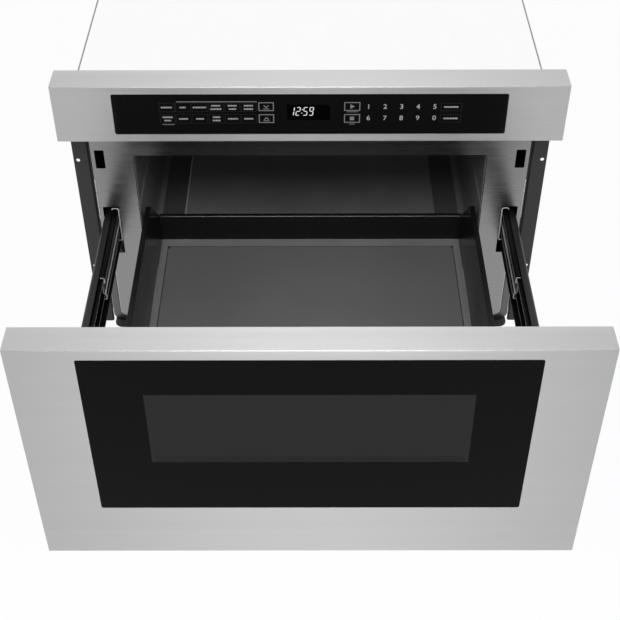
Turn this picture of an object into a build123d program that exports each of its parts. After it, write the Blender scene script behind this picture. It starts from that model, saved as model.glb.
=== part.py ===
from build123d import *
import math
import os

os.makedirs("parts", exist_ok=True)

# A built-in microwave oven whose cooking pan slides out as a drawer, drawn with the drawer open.
# Millimetres.  X runs across, Y towards the back, Z up.  The origin is the centre of the
# chassis footprint, on the surface that the appliance rests on.

# ---------------------------------------------------------------------------------------------
# Driving dimensions
# ---------------------------------------------------------------------------------------------

# the whole appliance
FRONT_W = 606.4            # control panel and drawer front
FRONT_LAP = 26.2           # front beyond the side panels, each side
CHASSIS_W = FRONT_W - 2 * FRONT_LAP
CASE_HALF = CHASSIS_W / 2  # outside of a side panel, from the centre line
CHASSIS_D = 551.0          # back of the mounting flange to the outside of the back panel
PANEL_TOP = 401.0          # top of the control panel
CASE_TOP = 396.0           # outside of the top cover
TRAVEL = 358.7             # drawer, closed to fully open
SHEET = 0.8                # case and cavity sheet
SLIP = 0.3                 # gap between parts that only pass each other
BEND_R = 1.5               # inner radius of a folded edge

# mounting flange on the side panels
FLANGE_T = 1.2
FLANGE_REACH = 19.0        # out from the side panel
FLANGE_BOTTOM = 2.0
MOUNT_HOLE_R = 2.5
MOUNT_HOLE_X = CASE_HALF + 13.5
MOUNT_HOLE_LOW = 102.0
MOUNT_HOLE_HIGH = 274.0
CORNER_RELIEF_H = 22.0     # side panel cut away behind the foot of the flange
CORNER_RELIEF_D = 26.0
BASE_T = 1.0               # floor tray's sheet
TRAY_H = 14.0              # upturned edges of the floor tray
LID_DROP = 12.0            # turned-down sides of the lid

# front frame, the pressed plate round the oven mouth
FRAME_T = 1.5
FRAME_EDGE_GAP = 1.0       # between the plate's edge and the side panel
FRAME_BOTTOM = 0.8
FRAME_CORNER_R = 14.0
FRAME_STEP = 2.2           # border is pressed back by this
FRAME_STEP_W = 11.0        # width of that border
FRAME_STEP_TOP = 116.0     # border starts below the slide slots
MOUTH_HALF_W = CASE_HALF - 55.5
MOUTH_TOP = 281.0
MOUTH_R = 3.0
LATCH_HOLE_W = 12.0
LATCH_HOLE_X = (CASE_HALF - 7.8 - LATCH_HOLE_W, CASE_HALF - 7.8)
LATCH_HOLE_Z = (261.6, 288.8)
SLOT_X = (CASE_HALF - 29.9, CASE_HALF - 8.6)
SLOT_Z = (125.0, 201.0)

# fixed oven cavity
CAVITY_HALF_W = MOUTH_HALF_W - 1.5
CAVITY_FLOOR = 96.0
CAVITY_CEILING = 282.0
CAVITY_D = 422.0           # front frame's face to the back wall
CAVITY_COVE_R = 9.0
CAVITY_RIB_Z = 205.0       # pressed rib along each side wall
CAVITY_RIB_H = 8.0
CAVITY_RIB_OUT = 2.5
CEILING_FIELD_H = 4.0      # pressed field in the ceiling

# stirrer well under the cavity floor
WELL_HALF_W = CAVITY_HALF_W - 50.0
WELL_HALF_D = 150.0
WELL_DEPTH = 18.0
WELL_R = 20.0
COVER_HALF_W = WELL_HALF_W + 8.5
COVER_HALF_D = 158.0
COVER_T = 3.0
COVER_SINK = 2.2           # the cover's top lies this far under the cavity floor
STIRRER_Y = -65.7
STIRRER_R = 118.0
STIRRER_T = 1.5
STIRRER_SHAFT_R = 4.0
SHAFT_FIT = 0.05           # radial running clearance of a shaft in its bore

# control panel
CONTROL_D = 36.0
CONTROL_H = 75.3
CONTROL_LAP = 2.2          # the top wall laps over the front frame
FASCIA_T = 1.0
GLASS_HALF_W = FRONT_W / 2 - 70.8
CONTROL_GLASS_Z = (336.2, 391.4)
CONTROL_GLASS_T = 3.0
GLASS_GAP = 0.3
GLASS_CORNER_R = 2.5
FASCIA_EDGE_R = 1.2

# drawer front
FASCIA_GAP = 3.0           # between the control panel and the drawer front
DRAWER_FRONT_D = 34.5
DRAWER_FRONT_BOTTOM = 1.0
FRONT_LIP = 14.0           # folded lip round the back of the drawer front
DOOR_GLASS_Z = (80.2, 310.0)
DOOR_GLASS_T = 4.0
WINDOW_HALF_W = GLASS_HALF_W - 63.4
WINDOW_Z = (157.5, 260.5)
WINDOW_MARGIN = 4.0
CORE_MARGIN = 10.0         # glass carrier beyond the glass
CORE_T = 9.0
SCREEN_T = 0.8
SCREEN_MARGIN = 14.0
INNER_SKIN = 1.2           # wall of the pressed inner panel
INNER_HALF_W = FRONT_W / 2 - 15.2
INNER_Z = (16.0, 314.0)
INNER_SET_BACK = 6.0       # its outer border, under the folded lip
CHOKE_IN_X = MOUTH_HALF_W + 4.5
CHOKE_IN_Z = (88.0, 284.0)
CHOKE_W = 16.0
CHOKE_DEPTH = 19.0
PLATEAU_MARGIN = 6.0
CHOKE_COVER_T = 2.0

# cooking pan
PAN_HALF_W = CAVITY_HALF_W - 15.7
PAN_WALL = 1.0
PAN_RIM = 6.6              # rim, wall included
PAN_RIM_DROP = 7.0
PAN_RIM_Z = 209.3
PAN_FLOOR = 106.0          # ledge and floor plate
PAN_LEN = 413.8            # door panel to the inside of the back wall
PAN_BACK_Z = 149.5
PAN_BACK_RIM = 4.5
LEDGE_SIDE = 9.3
LEDGE_BACK = 15.0
PLATE_T = 5.0
PLATE_GAP = 0.8
PLATE_R = 6.0

# telescopic slides, drawn for the +X side
SLIDE_T = 1.5
SLIDE_Z = 171.8
CABINET_X = (CASE_HALF - 29.0, CASE_HALF - 19.0)
CABINET_H = 53.6
CABINET_Y = (-276.0, 142.0)
MIDDLE_X = (CABINET_X[0] + 2.7, CABINET_X[1] - 1.4)
MIDDLE_H = 35.4
MIDDLE_WEB = 3.5           # the web is pressed back between two beads
MIDDLE_BEAD = 10.5
MIDDLE_Y = (-404.7, -39.7)
DRAWER_MEMBER_X = (CABINET_X[0] + 5.5, CABINET_X[1] + 7.0)
DRAWER_MEMBER_H = 22.4
DRAWER_MEMBER_BACK = -217.7
BEAM_X = (CABINET_X[0] + 4.8, CABINET_X[1] + 9.6)
BEAM_Z = (134.0, 189.0)
BEAM_TOP_FLANGE = 9.3
BEAM_T = 1.5
BEAM_BACK = -214.0
BEAM_TAB = 18.0
OUTER_BALL_R = 3.5
INNER_BALL_R = 2.2
OUTER_BALL_X = CABINET_X[0] + 5.6
INNER_BALL_X = CABINET_X[0] + 6.8
CAGE_T = 0.6
OUTER_CAGE_Y = (-267.7, -57.7)
INNER_CAGE_Y = (-398.7, -228.7)
BALLS_PER_ROW = 5
BRACKET_Y = (-250.0, 120.0)
BRACKET_FOOT = 6.0

# rack and pinion drive, left side
MODULE = 2.0
PINION_TEETH = 14
PRESSURE_ANGLE = 20.0
TOOTH_HEAD = 1.5           # addendum
TOOTH_FOOT = 2.1           # dedendum
TOOTH_PLAY = 0.16          # backlash
RACK_H = 8.0
RACK_X = (BEAM_X[0] + 2.7, BEAM_X[1] - 2.6)
PINION_Y = -242.7
PINION_X = (RACK_X[0] + 0.5, RACK_X[1] - 0.5)
PINION_SHAFT_R = 4.0
GEARBOX_X = (PINION_X[0] - 35.0, PINION_X[0] - 5.5)
GEARBOX_Y = (-264.0, -190.0)
GEARBOX_Z = (72.0, 138.0)
DRIVE_MOTOR_R = 16.5
DRIVE_MOTOR_L = 64.0

# latch hooks and door switches
HOOK_X = (LATCH_HOLE_X[0] + 4.0, LATCH_HOLE_X[0] + 8.0)
HOOK_Z = (266.0, 280.0)
HOOK_REACH = 40.0
SWITCH_SIZE = (10.3, 28.0, 16.0)
SWITCH_CLEAR = 1.0

# rear compartment
WAVEGUIDE_HALF_W = 48.0
WAVEGUIDE_H = 24.0
WAVEGUIDE_T = 1.5
WAVEGUIDE_BACK = 258.0
MAGNETRON_Y = 210.0
MAGNETRON_SIZE = (84.0, 72.0, 62.0)
MAGNETRON_FINS = 9
MAGNETRON_DOME_R = 8.0
FAN_X = 92.0
FAN_Y = 210.0
FAN_Z = 84.0
FAN_R = 50.0
FAN_BLADES = 5
FAN_SHAFT_R = 2.5
FAN_PLATE_T = 1.5
TRANSFORMER_POS = (82.0 - CASE_HALF, 212.0)
TRANSFORMER_SIZE = (104.0, 66.0, 88.0)
CAPACITOR_POS = (TRANSFORMER_POS[0] + 97.0, 205.0)
CAPACITOR_SIZE = (34.0, 54.0, 92.0)

# ---------------------------------------------------------------------------------------------
# Planes worked out from them
# ---------------------------------------------------------------------------------------------

FLANGE_BACK = -CHASSIS_D / 2
FRAME_FACE = FLANGE_BACK - FLANGE_T
CONTROL_FACE = FRAME_FACE - CONTROL_D
DRAWER_FACE = CONTROL_FACE - TRAVEL
DRAWER_BACK = DRAWER_FACE + DRAWER_FRONT_D
CONTROL_BOTTOM = PANEL_TOP - CONTROL_H
DRAWER_TOP = CONTROL_BOTTOM - FASCIA_GAP
CASE_BACK = CHASSIS_D / 2
CASE_IN = CASE_HALF - FLANGE_T
FRAME_HALF = CASE_IN - FRAME_EDGE_GAP
FRAME_TOP = CASE_TOP - SHEET
CAVITY_BACK = FRAME_FACE + CAVITY_D
CAVITY_OUT = CAVITY_HALF_W + SHEET
CAVITY_ROOF = CAVITY_CEILING + SHEET
WELL_FLOOR = CAVITY_FLOOR - WELL_DEPTH
WAVEGUIDE_TOP = WELL_FLOOR - SHEET
WAVEGUIDE_BOTTOM = WAVEGUIDE_TOP - WAVEGUIDE_H
DOOR_CORE_BACK = DRAWER_FACE + FASCIA_T + CORE_T
INNER_FACE = DRAWER_BACK - CHOKE_COVER_T
CHOKE_OUT_X = CHOKE_IN_X + CHOKE_W
BORDER_FACE = DRAWER_BACK - INNER_SET_BACK
PAN_FRONT = INNER_FACE
PAN_BACK = PAN_FRONT + PAN_LEN
PINION_R = MODULE * PINION_TEETH / 2
RACK_PITCH_Z = BEAM_Z[0] - RACK_H + TOOTH_HEAD
PINION_Z = RACK_PITCH_Z - PINION_R - TOOTH_PLAY / 2


# ---------------------------------------------------------------------------------------------
# Helpers
# ---------------------------------------------------------------------------------------------

def block(x, y, z):
    """A rectangular solid from three (low, high) pairs."""
    size = [pair[1] - pair[0] for pair in (x, y, z)]
    return Pos((x[0] + x[1]) / 2, (y[0] + y[1]) / 2, (z[0] + z[1]) / 2) * Box(*size)


def rectangle(a, b, radius=0):
    """A flat rectangle from two (low, high) pairs, with rounded corners."""
    width, height = a[1] - a[0], b[1] - b[0]
    shape = RectangleRounded(width, height, radius) if radius else Rectangle(width, height)
    return Pos((a[0] + a[1]) / 2, (b[0] + b[1]) / 2) * shape


def along_x(sketch, x):
    """Pull a (Y, Z) sketch from x[0] to x[1]."""
    plane = Plane(origin=(x[0], 0, 0), x_dir=(0, 1, 0), z_dir=(1, 0, 0))
    return extrude(plane * sketch, amount=x[1] - x[0])


def along_y(sketch, y):
    """Pull an (X, Z) sketch from y[0] to y[1]."""
    plane = Plane(origin=(0, y[1], 0), x_dir=(1, 0, 0), z_dir=(0, -1, 0))
    return extrude(plane * sketch, amount=y[1] - y[0])


def along_z(sketch, z):
    """Pull an (X, Y) sketch from z[0] to z[1]."""
    return extrude(Plane(origin=(0, 0, z[0])) * sketch, amount=z[1] - z[0])


def folded(points, thick, radius=BEND_R):
    """The section of a sheet folded along points; the thickness grows to the left of the path.

    The radius is the inner one of each bend, given once or as one value for each bend.
    """
    bends = len(points) - 2
    radii = list(radius) if isinstance(radius, (list, tuple)) else [radius] * bends
    steps = []
    for a, b in zip(points, points[1:]):
        length = math.hypot(b[0] - a[0], b[1] - a[1])
        steps.append(((b[0] - a[0]) / length, (b[1] - a[1]) / length))
    lefts = [(-dy, dx) for dx, dy in steps]
    second = []
    near, far = [], []
    for index, (x, y) in enumerate(points):
        before = lefts[max(index - 1, 0)]
        after = lefts[min(index, len(lefts) - 1)]
        share = thick / (1 + before[0] * after[0] + before[1] * after[1])
        second.append((x + (before[0] + after[0]) * share, y + (before[1] + after[1]) * share))
        if 0 < index <= bends:
            turn = steps[index - 1][0] * steps[index][1] - steps[index - 1][1] * steps[index][0]
            inner = radii[index - 1]
            near.append(inner + thick if turn > 0 else inner)
            far.append(inner if turn > 0 else inner + thick)
    return make_face(
        [
            FilletPolyline(*points, radius=near),
            Line(points[-1], second[-1]),
            FilletPolyline(*second[::-1], radius=far[::-1]),
            Line(second[0], points[0]),
        ]
    )


def cylinder_x(radius, x, y, z):
    return along_x(Pos(y, z) * Circle(radius), x)


def cylinder_y(radius, x, y, z):
    return along_y(Pos(x, z) * Circle(radius), y)


def cylinder_z(radius, x, y, z):
    return along_z(Pos(x, y) * Circle(radius), z)


def mirrored(solid):
    """The same piece for the other side of the appliance."""
    return mirror(solid, about=Plane.YZ)


def spread(count, low, high):
    """Count evenly spaced places whose first and last lie half a step inside low and high."""
    step = (high - low) / count
    return [low + step * (index + 0.5) for index in range(count)]


# ---------------------------------------------------------------------------------------------
# Case
# ---------------------------------------------------------------------------------------------

def base_plate():
    """Floor tray: upturned edges, two stiffening ribs and an air inlet grille."""
    edge = TRAY_H
    front = FRAME_FACE + FLANGE_T + CORNER_RELIEF_D - 2.0
    back = CASE_BACK - SHEET
    half = CASE_IN
    tray = block((-half, half), (front, back), (0, edge))
    tray -= block((-half + BASE_T, half - BASE_T), (front - 1, back - BASE_T), (BASE_T, edge + 1))
    for x in (-150.0, 150.0):
        rib = rectangle((x - 12, x + 12), (front + 40, CAVITY_BACK - 60), 11)
        tray += along_z(rib, (BASE_T, BASE_T + 4.0))
    for y in spread(9, 165.0, 255.0):
        tray -= along_z(Pos(FAN_X + 70, y) * SlotOverall(70, 4.5), (-1, BASE_T + 1))
    return tray


def side_panel():
    """Right side of the case, its front edge turned out as the mounting flange."""
    path = [(CASE_IN, CASE_BACK), (CASE_IN, FRAME_FACE), (CASE_HALF + FLANGE_REACH, FRAME_FACE)]
    section = folded(path, FLANGE_T)
    panel = along_z(section, (FLANGE_BOTTOM, CASE_TOP - SHEET))
    relief_y = (FLANGE_BACK + BEND_R + FLANGE_T, FLANGE_BACK + CORNER_RELIEF_D)
    panel -= block((CASE_IN - 1, CASE_HALF + 2), relief_y, (0, CORNER_RELIEF_H))
    for z in (MOUNT_HOLE_LOW, MOUNT_HOLE_HIGH):
        panel -= cylinder_y(MOUNT_HOLE_R, MOUNT_HOLE_X, (FRAME_FACE - 1, FLANGE_BACK + 1), z)
    for y in spread(8, CAVITY_BACK + 14.7, CASE_BACK - 13.5):
        panel -= along_x(Pos(y, 190) * Rot(0, 0, 90) * SlotOverall(120, 5), (CASE_IN - 1, CASE_HALF + 2))
    return panel


def back_panel():
    """Rear wall with the fan's air grille and the hole of the cord bushing."""
    half = CASE_IN
    low, high = TRAY_H, CASE_TOP - SHEET
    panel = block((-half, half), (CASE_BACK - SHEET, CASE_BACK), (low, high))
    edge = 12.0
    for x in (-half, half - SHEET):
        edge_y = (CASE_BACK - SHEET - edge, CASE_BACK - SHEET)
        panel += block((x, x + SHEET), edge_y, (low + 1, CASE_TOP - LID_DROP - 1))
    for row in range(3):
        for z in spread(9, 40.0, 130.0):
            slot = Pos(110.0 + 56 * row, z) * SlotOverall(48, 4.5)
            panel -= along_y(slot, (CASE_BACK - 2, CASE_BACK + 1))
    panel -= cylinder_y(CORD_HOLE_R, CORD_X, (CASE_BACK - 2, CASE_BACK + 1), CORD_Z)
    return panel


CORD_X = 50.0 - CASE_HALF
CORD_Z = CASE_TOP - 66.0
CORD_HOLE_R = 11.0


def cord_bushing():
    """Snap-in bushing that lines the supply lead's hole."""
    bore = 5.5
    flange = 15.0
    bush = cylinder_y(CORD_HOLE_R - SLIP / 2, CORD_X, (CASE_BACK - 8, CASE_BACK), CORD_Z)
    bush += cylinder_y(flange, CORD_X, (CASE_BACK - 8, CASE_BACK - SHEET), CORD_Z)
    bush -= cylinder_y(bore, CORD_X, (CASE_BACK - 9, CASE_BACK + 1), CORD_Z)
    return bush


def top_cover():
    """Lid of the case with turned-down sides and two fields of louvres."""
    half = CASE_IN
    low = CASE_TOP - LID_DROP
    path = [(-half, low), (-half, CASE_TOP), (half, CASE_TOP), (half, low)]
    section = folded(path[::-1], SHEET)
    cover = along_y(section, (FRAME_FACE + FRAME_T, CASE_BACK - SHEET))
    for x in (-150.0, 150.0):
        for y in spread(7, 150.0, 250.0):
            cover -= along_z(Pos(x, y) * SlotOverall(90, 5), (CASE_TOP - 3, CASE_TOP + 1))
    return cover


def front_frame():
    """Pressed steel plate round the oven mouth, with slots for the slides and latch hooks."""
    deep = FRAME_T + FRAME_STEP
    face = (FRAME_FACE, FRAME_FACE + deep)
    outline = Rectangle(2 * FRAME_HALF, FRAME_TOP - FRAME_BOTTOM)
    outline = fillet(outline.vertices().group_by(Axis.Y)[0], FRAME_CORNER_R)
    outline = Pos(0, (FRAME_TOP + FRAME_BOTTOM) / 2) * outline
    plate = along_y(outline, face)
    raised_half = FRAME_HALF - FRAME_STEP_W
    raised_low = FRAME_BOTTOM + FRAME_STEP_W
    step_r = FRAME_CORNER_R - 3.0
    lower = rectangle((-raised_half, raised_half), (raised_low, FRAME_STEP_TOP + 40), step_r)
    upper = rectangle((-FRAME_HALF - 1, FRAME_HALF + 1), (FRAME_STEP_TOP, FRAME_TOP + 1), 4.0)
    raised = lower + upper
    inner = offset(raised, amount=-FRAME_T)
    plate -= along_y(rectangle((-400, 400), (-50, 500)) - raised, (face[0] - 1, face[0] + FRAME_STEP))
    back_pocket = inner + rectangle((-FRAME_HALF - 1, FRAME_HALF + 1), (FRAME_STEP_TOP + 4, FRAME_TOP + 1))
    plate -= along_y(back_pocket, (face[0] + FRAME_T, face[1] + 1))
    through = (face[0] - 1, face[1] + 1)
    plate -= along_y(rectangle((-MOUTH_HALF_W, MOUTH_HALF_W), (CAVITY_FLOOR, MOUTH_TOP), MOUTH_R), through)
    for side in (-1, 1):
        for x, z in ((SLOT_X, SLOT_Z), (LATCH_HOLE_X, LATCH_HOLE_Z)):
            hole = rectangle(sorted((side * x[0], side * x[1])), z, 1.2)
            plate -= along_y(hole, through)
    foot_y = (FRAME_FACE + FRAME_STEP, FLANGE_BACK + CORNER_RELIEF_D + 12)
    foot = block((-235, 235), foot_y, (BASE_T, BASE_T + FRAME_T))
    top = block((-250, 250), (FRAME_FACE, FRAME_FACE + 16), (FRAME_TOP - FRAME_T, FRAME_TOP))
    return plate + foot + top


# ---------------------------------------------------------------------------------------------
# Oven cavity
# ---------------------------------------------------------------------------------------------

def cavity_floor():
    """Floor sheet with the drawn well that the stirrer turns in."""
    y = (FRAME_FACE + FRAME_T, CAVITY_BACK)
    half = CAVITY_HALF_W - CAVITY_COVE_R
    floor = block((-half, half), y, (CAVITY_FLOOR - SHEET, CAVITY_FLOOR))
    ledge = COVER_T + COVER_SINK
    centre = Pos(0, STIRRER_Y)
    tray = centre * RectangleRounded(2 * (COVER_HALF_W + 1), 2 * (COVER_HALF_D + 1), WELL_R + 8)
    well = centre * RectangleRounded(2 * WELL_HALF_W, 2 * WELL_HALF_D, WELL_R)
    floor += along_z(offset(tray, amount=SHEET), (CAVITY_FLOOR - ledge - SHEET, CAVITY_FLOOR))
    floor += along_z(offset(well, amount=SHEET), (WELL_FLOOR - SHEET, CAVITY_FLOOR - ledge))
    floor -= along_z(tray, (CAVITY_FLOOR - ledge, CAVITY_FLOOR + 1))
    floor -= along_z(well, (WELL_FLOOR, CAVITY_FLOOR + 1))
    floor -= cylinder_z(COUPLING_R, 0, STIRRER_Y, (WELL_FLOOR - 2, WELL_FLOOR + 1))
    return floor


COUPLING_R = 16.0


def cavity_wall():
    """Right wall of the cavity: a cove at the floor, a pressed rib and a turned-out front flange."""
    r = CAVITY_COVE_R
    rib = (CAVITY_RIB_Z - CAVITY_RIB_H / 2, CAVITY_RIB_Z + CAVITY_RIB_H / 2)
    x = CAVITY_HALF_W
    out = CAVITY_RIB_OUT
    points = [
        (x - r, CAVITY_FLOOR),
        (x, CAVITY_FLOOR),
        (x, rib[0] - out),
        (x + out, rib[0]),
        (x + out, rib[1]),
        (x, rib[1] + out),
        (x, CAVITY_CEILING),
    ]
    outside = [(2 * x - px, z) for px, z in points]
    section = folded(outside, SHEET, [r - 0.01, 1.0, 1.0, 1.0, 1.0])
    wall = mirror(along_y(section, (FRAME_FACE + FRAME_T, CAVITY_BACK)), about=Plane.YZ.offset(x))
    for y in spread(6, -40.0, 40.0):
        for z in (232.0, 242.0, 252.0):
            wall -= cylinder_x(2.5, (x - 1, x + 3), y, z)
    return wall


def cavity_ceiling():
    """Ceiling sheet with a shallow pressed field."""
    y = (FRAME_FACE + FRAME_T, CAVITY_BACK)
    sheet = block((-CAVITY_OUT, CAVITY_OUT), y, (CAVITY_CEILING, CAVITY_ROOF))
    field_w, field_d = 2 * CAVITY_HALF_W - 100, y[1] - y[0] - 120
    field = Pos(0, (y[0] + y[1]) / 2) * RectangleRounded(field_w, field_d, 30)
    rise = CAVITY_ROOF + CEILING_FIELD_H
    sheet += along_z(offset(field, amount=SHEET), (CAVITY_CEILING, rise))
    sheet -= along_z(field, (CAVITY_CEILING - 1, rise - SHEET))
    return sheet


def rear_bulkhead():
    """Back wall of the cavity, carried on to the base, the lid and both sides."""
    half = CASE_IN - BASE_T
    low = BASE_T
    outline = rectangle((-half, half), (low, CASE_TOP - SHEET))
    outline = fillet(outline.vertices().group_by(Axis.Y)[-1], 4.0)
    wall = along_y(outline, (CAVITY_BACK, CAVITY_BACK + SHEET))
    pass_half = WAVEGUIDE_HALF_W + SLIP
    guide = rectangle((-pass_half, pass_half), (WAVEGUIDE_BOTTOM - SLIP, WAVEGUIDE_TOP + SLIP))
    wall -= along_y(guide, (CAVITY_BACK - 1, CAVITY_BACK + 2))
    for x in spread(7, 100.0, 170.0):
        for z in spread(4, 220.0, 260.0):
            wall -= cylinder_y(2.5, x, (CAVITY_BACK - 1, CAVITY_BACK + 2), z)
    return wall


def stirrer_cover():
    """Ceramic plate that closes the stirrer well, resting on its ledge."""
    top = CAVITY_FLOOR - COVER_SINK
    plate = Pos(0, STIRRER_Y) * RectangleRounded(2 * COVER_HALF_W, 2 * COVER_HALF_D, WELL_R + 7)
    return along_z(plate, (top - COVER_T, top))


def stirrer():
    """Rotating antenna: a disc with three curved windows on a stepped shaft."""
    disc_z = WELL_FLOOR + 8.0
    disc = Circle(STIRRER_R)
    window_in, window_out, half_angle = 42.0, 98.0, 34.0
    for turn in (0, 120, 240):
        ring = Circle(window_out) - Circle(window_in)
        reach = 2 * window_out
        wedge = Polygon(
            (0, 0),
            (reach, -reach * math.tan(math.radians(half_angle))),
            (reach, reach * math.tan(math.radians(half_angle))),
            align=None,
        )
        disc -= Rot(0, 0, turn) * (ring & wedge)
    blade = along_z(Pos(0, STIRRER_Y) * disc, (disc_z, disc_z + STIRRER_T))
    hub = cylinder_z(9.0, 0, STIRRER_Y, (disc_z - 5.0, disc_z + 4.0))
    shaft = cylinder_z(STIRRER_SHAFT_R, 0, STIRRER_Y, (WAVEGUIDE_BOTTOM - 12.0, disc_z))
    return blade + hub + shaft


def stirrer_motor():
    """Flat geared motor under the waveguide that turns the stirrer."""
    top = WAVEGUIDE_BOTTOM
    body = cylinder_z(25.0, 0, STIRRER_Y, (top - 20.0, top))
    ears = Pos(0, STIRRER_Y) * SlotOverall(72, 14)
    body += along_z(ears, (top - 2.0, top))
    for x in (-29.5, 29.5):
        body -= cylinder_z(2.1, x, STIRRER_Y, (top - 3, top + 1))
    body += block((18, 34), (STIRRER_Y - 8, STIRRER_Y + 8), (top - 18, top - 6))
    bore = STIRRER_SHAFT_R + SHAFT_FIT
    return body - cylinder_z(bore, 0, STIRRER_Y, (top - 14.0, top + 1))


# ---------------------------------------------------------------------------------------------
# Rear compartment
# ---------------------------------------------------------------------------------------------

def waveguide():
    """Rectangular duct from the magnetron to the stirrer well."""
    y = (STIRRER_Y - 50.0, WAVEGUIDE_BACK)
    half, t = WAVEGUIDE_HALF_W, WAVEGUIDE_T
    duct = block((-half, half), y, (WAVEGUIDE_BOTTOM, WAVEGUIDE_TOP))
    inner_z = (WAVEGUIDE_BOTTOM + t, WAVEGUIDE_TOP - t)
    duct -= block((-half + t, half - t), (y[0] + t, y[1] - t), inner_z)
    duct -= cylinder_z(COUPLING_R, 0, STIRRER_Y, (WAVEGUIDE_TOP - t - 1, WAVEGUIDE_TOP + 1))
    duct -= cylinder_z(STIRRER_SHAFT_R + 0.5, 0, STIRRER_Y, (WAVEGUIDE_BOTTOM - 1, inner_z[0] + 1))
    duct -= cylinder_z(MAGNETRON_DOME_R + 2, 0, MAGNETRON_Y, (inner_z[1] - 1, WAVEGUIDE_TOP + 1))
    for x in (-36.0, 36.0):
        duct += block((x - 6, x + 6), (230.0, 236.0), (BASE_T, WAVEGUIDE_BOTTOM))
    return duct


def magnetron():
    """Yoke, cooling fins round the anode, filter box on top and the output dome below."""
    width, depth, height = MAGNETRON_SIZE
    low = WAVEGUIDE_TOP
    x, y = (-width / 2, width / 2), (MAGNETRON_Y - depth / 2, MAGNETRON_Y + depth / 2)
    plate = 2.0
    path = [(x[0], low + plate), (x[0], low + height), (x[1], low + height), (x[1], low + plate)]
    yoke = along_y(folded(path[::-1], plate), y)
    body = yoke + block(x, y, (low, low + plate))
    body += cylinder_z(19.0, 0, MAGNETRON_Y, (low, low + height))
    for z in spread(MAGNETRON_FINS, low + 10, low + height - 10):
        body += block(x, (y[0] + 6, y[1] - 6), (z - 0.4, z + 0.4))
    body += block((-34, 34), (y[0] + 8, y[1] - 8), (low + height, low + height + 34))
    body += cylinder_z(MAGNETRON_DOME_R, 0, MAGNETRON_Y, (low - 14, low))
    return body


def transformer_core():
    """Laminated shell-type core on two mounting feet."""
    width, depth, height = TRANSFORMER_SIZE
    x0, y0 = TRANSFORMER_POS
    low = BASE_T
    limb = width / 6
    core = block((x0 - width / 2, x0 + width / 2), (y0 - depth / 2, y0 + depth / 2), (low, low + height))
    for side in (-1, 1):
        centre = x0 + side * limb * 1.5
        window = (centre - limb / 2, centre + limb / 2)
        core -= block(window, (y0 - depth, y0 + depth), (low + limb, low + height - limb))
    feet = block((x0 - width / 2 - 12, x0 + width / 2 + 12), (y0 - 10, y0 + 10), (low, low + 2.5))
    return core + feet


def transformer_coils():
    """Primary and secondary windings round the centre limb."""
    width, depth, height = TRANSFORMER_SIZE
    x0, y0 = TRANSFORMER_POS
    limb = width / 6
    low = BASE_T + limb + SLIP
    high = BASE_T + height - limb - SLIP
    half = limb + SLIP
    reach = depth / 2 + limb
    ring = RectangleRounded(2 * (2 * limb - SLIP), 2 * reach, limb * 0.7)
    ring -= Rectangle(2 * half, 2 * (depth / 2 + SLIP))
    ring = Pos(x0, y0) * ring
    middle = (low + high) / 2
    coil = along_z(ring, (low, high))
    groove = Pos(x0, y0) * (Rectangle(6 * limb, 4 * reach) - offset(Rectangle(4 * limb, 2 * reach), amount=-3))
    return coil - along_z(groove, (middle - 2, middle + 2))


def capacitor():
    """High-voltage capacitor can with two blade terminals and its clip to the base."""
    x0, y0 = CAPACITOR_POS
    width, depth, height = CAPACITOR_SIZE
    low = BASE_T
    can = along_z(Pos(x0, y0) * Rot(0, 0, 90) * SlotOverall(depth, width), (low, low + height))
    for y in (y0 - 12, y0 + 12):
        can += cylinder_z(5.0, x0, y, (low + height, low + height + 4))
        can += block((x0 - 0.4, x0 + 0.4), (y - 3, y + 3), (low + height + 4, low + height + 14))
    strap = Rot(0, 0, 90) * SlotOverall(depth + 3, width + 3)
    return can + along_z(Pos(x0, y0) * strap, (low + 38, low + 52))


def fan_bracket():
    """Plate with the fan's bell-mouth ring and the posts that carry its motor."""
    y = (CAVITY_BACK + SHEET, CASE_BACK - SHEET - 12.5)
    x = (FAN_X, FAN_X + FAN_PLATE_T)
    plate = block(x, y, (BASE_T, 2 * FAN_Z - 12))
    plate += block((FAN_X, FAN_X + 22), y, (BASE_T, BASE_T + FAN_PLATE_T))
    ring = Pos(FAN_Y, FAN_Z) * Circle(FAN_R + 4)
    bore = Pos(FAN_Y, FAN_Z) * Circle(FAN_R + 2)
    plate += along_x(ring, (FAN_X, FAN_X + 14))
    plate -= along_x(bore, (FAN_X - 1, FAN_X + 15))
    for dy in (-38.0, 38.0):
        for dz in (-46.0, 46.0):
            post = cylinder_x(3.0, (FAN_X, FAN_X + 30), FAN_Y + dy, FAN_Z + dz)
            plate += post
    arm = Pos(FAN_Y, FAN_Z) * (Rectangle(90, 106) - Rectangle(52, 52))
    return plate + along_x(arm, (FAN_X + 30, FAN_X + 32))


def fan_motor():
    """Shaded-pole motor: laminated core, coil and the two bearing bridges of the shaft."""
    x = (FAN_X + 32, FAN_X + 50)
    bore = FAN_SHAFT_R + SHAFT_FIT
    core = Pos(FAN_Y, FAN_Z) * RectangleRounded(60, 56, 4)
    core -= Pos(FAN_Y, FAN_Z) * Circle(14.0)
    body = along_x(core, x)
    body += block((x[0], x[1] + 6), (FAN_Y - 22, FAN_Y + 22), (FAN_Z + 29, FAN_Z + 52))
    body += block((x[0], x[1]), (FAN_Y - 22, FAN_Y + 22), (FAN_Z + 27, FAN_Z + 30))
    for start in (x[0], x[1] - 3):
        body += block((start, start + 3), (FAN_Y - 22, FAN_Y + 22), (FAN_Z - 6, FAN_Z + 6))
    for start in (x[0], x[1] - 5):
        body += cylinder_x(6.0, (start, start + 5), FAN_Y, FAN_Z)
    return body - cylinder_x(bore, (x[0] - 1, x[1] + 1), FAN_Y, FAN_Z)


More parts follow.
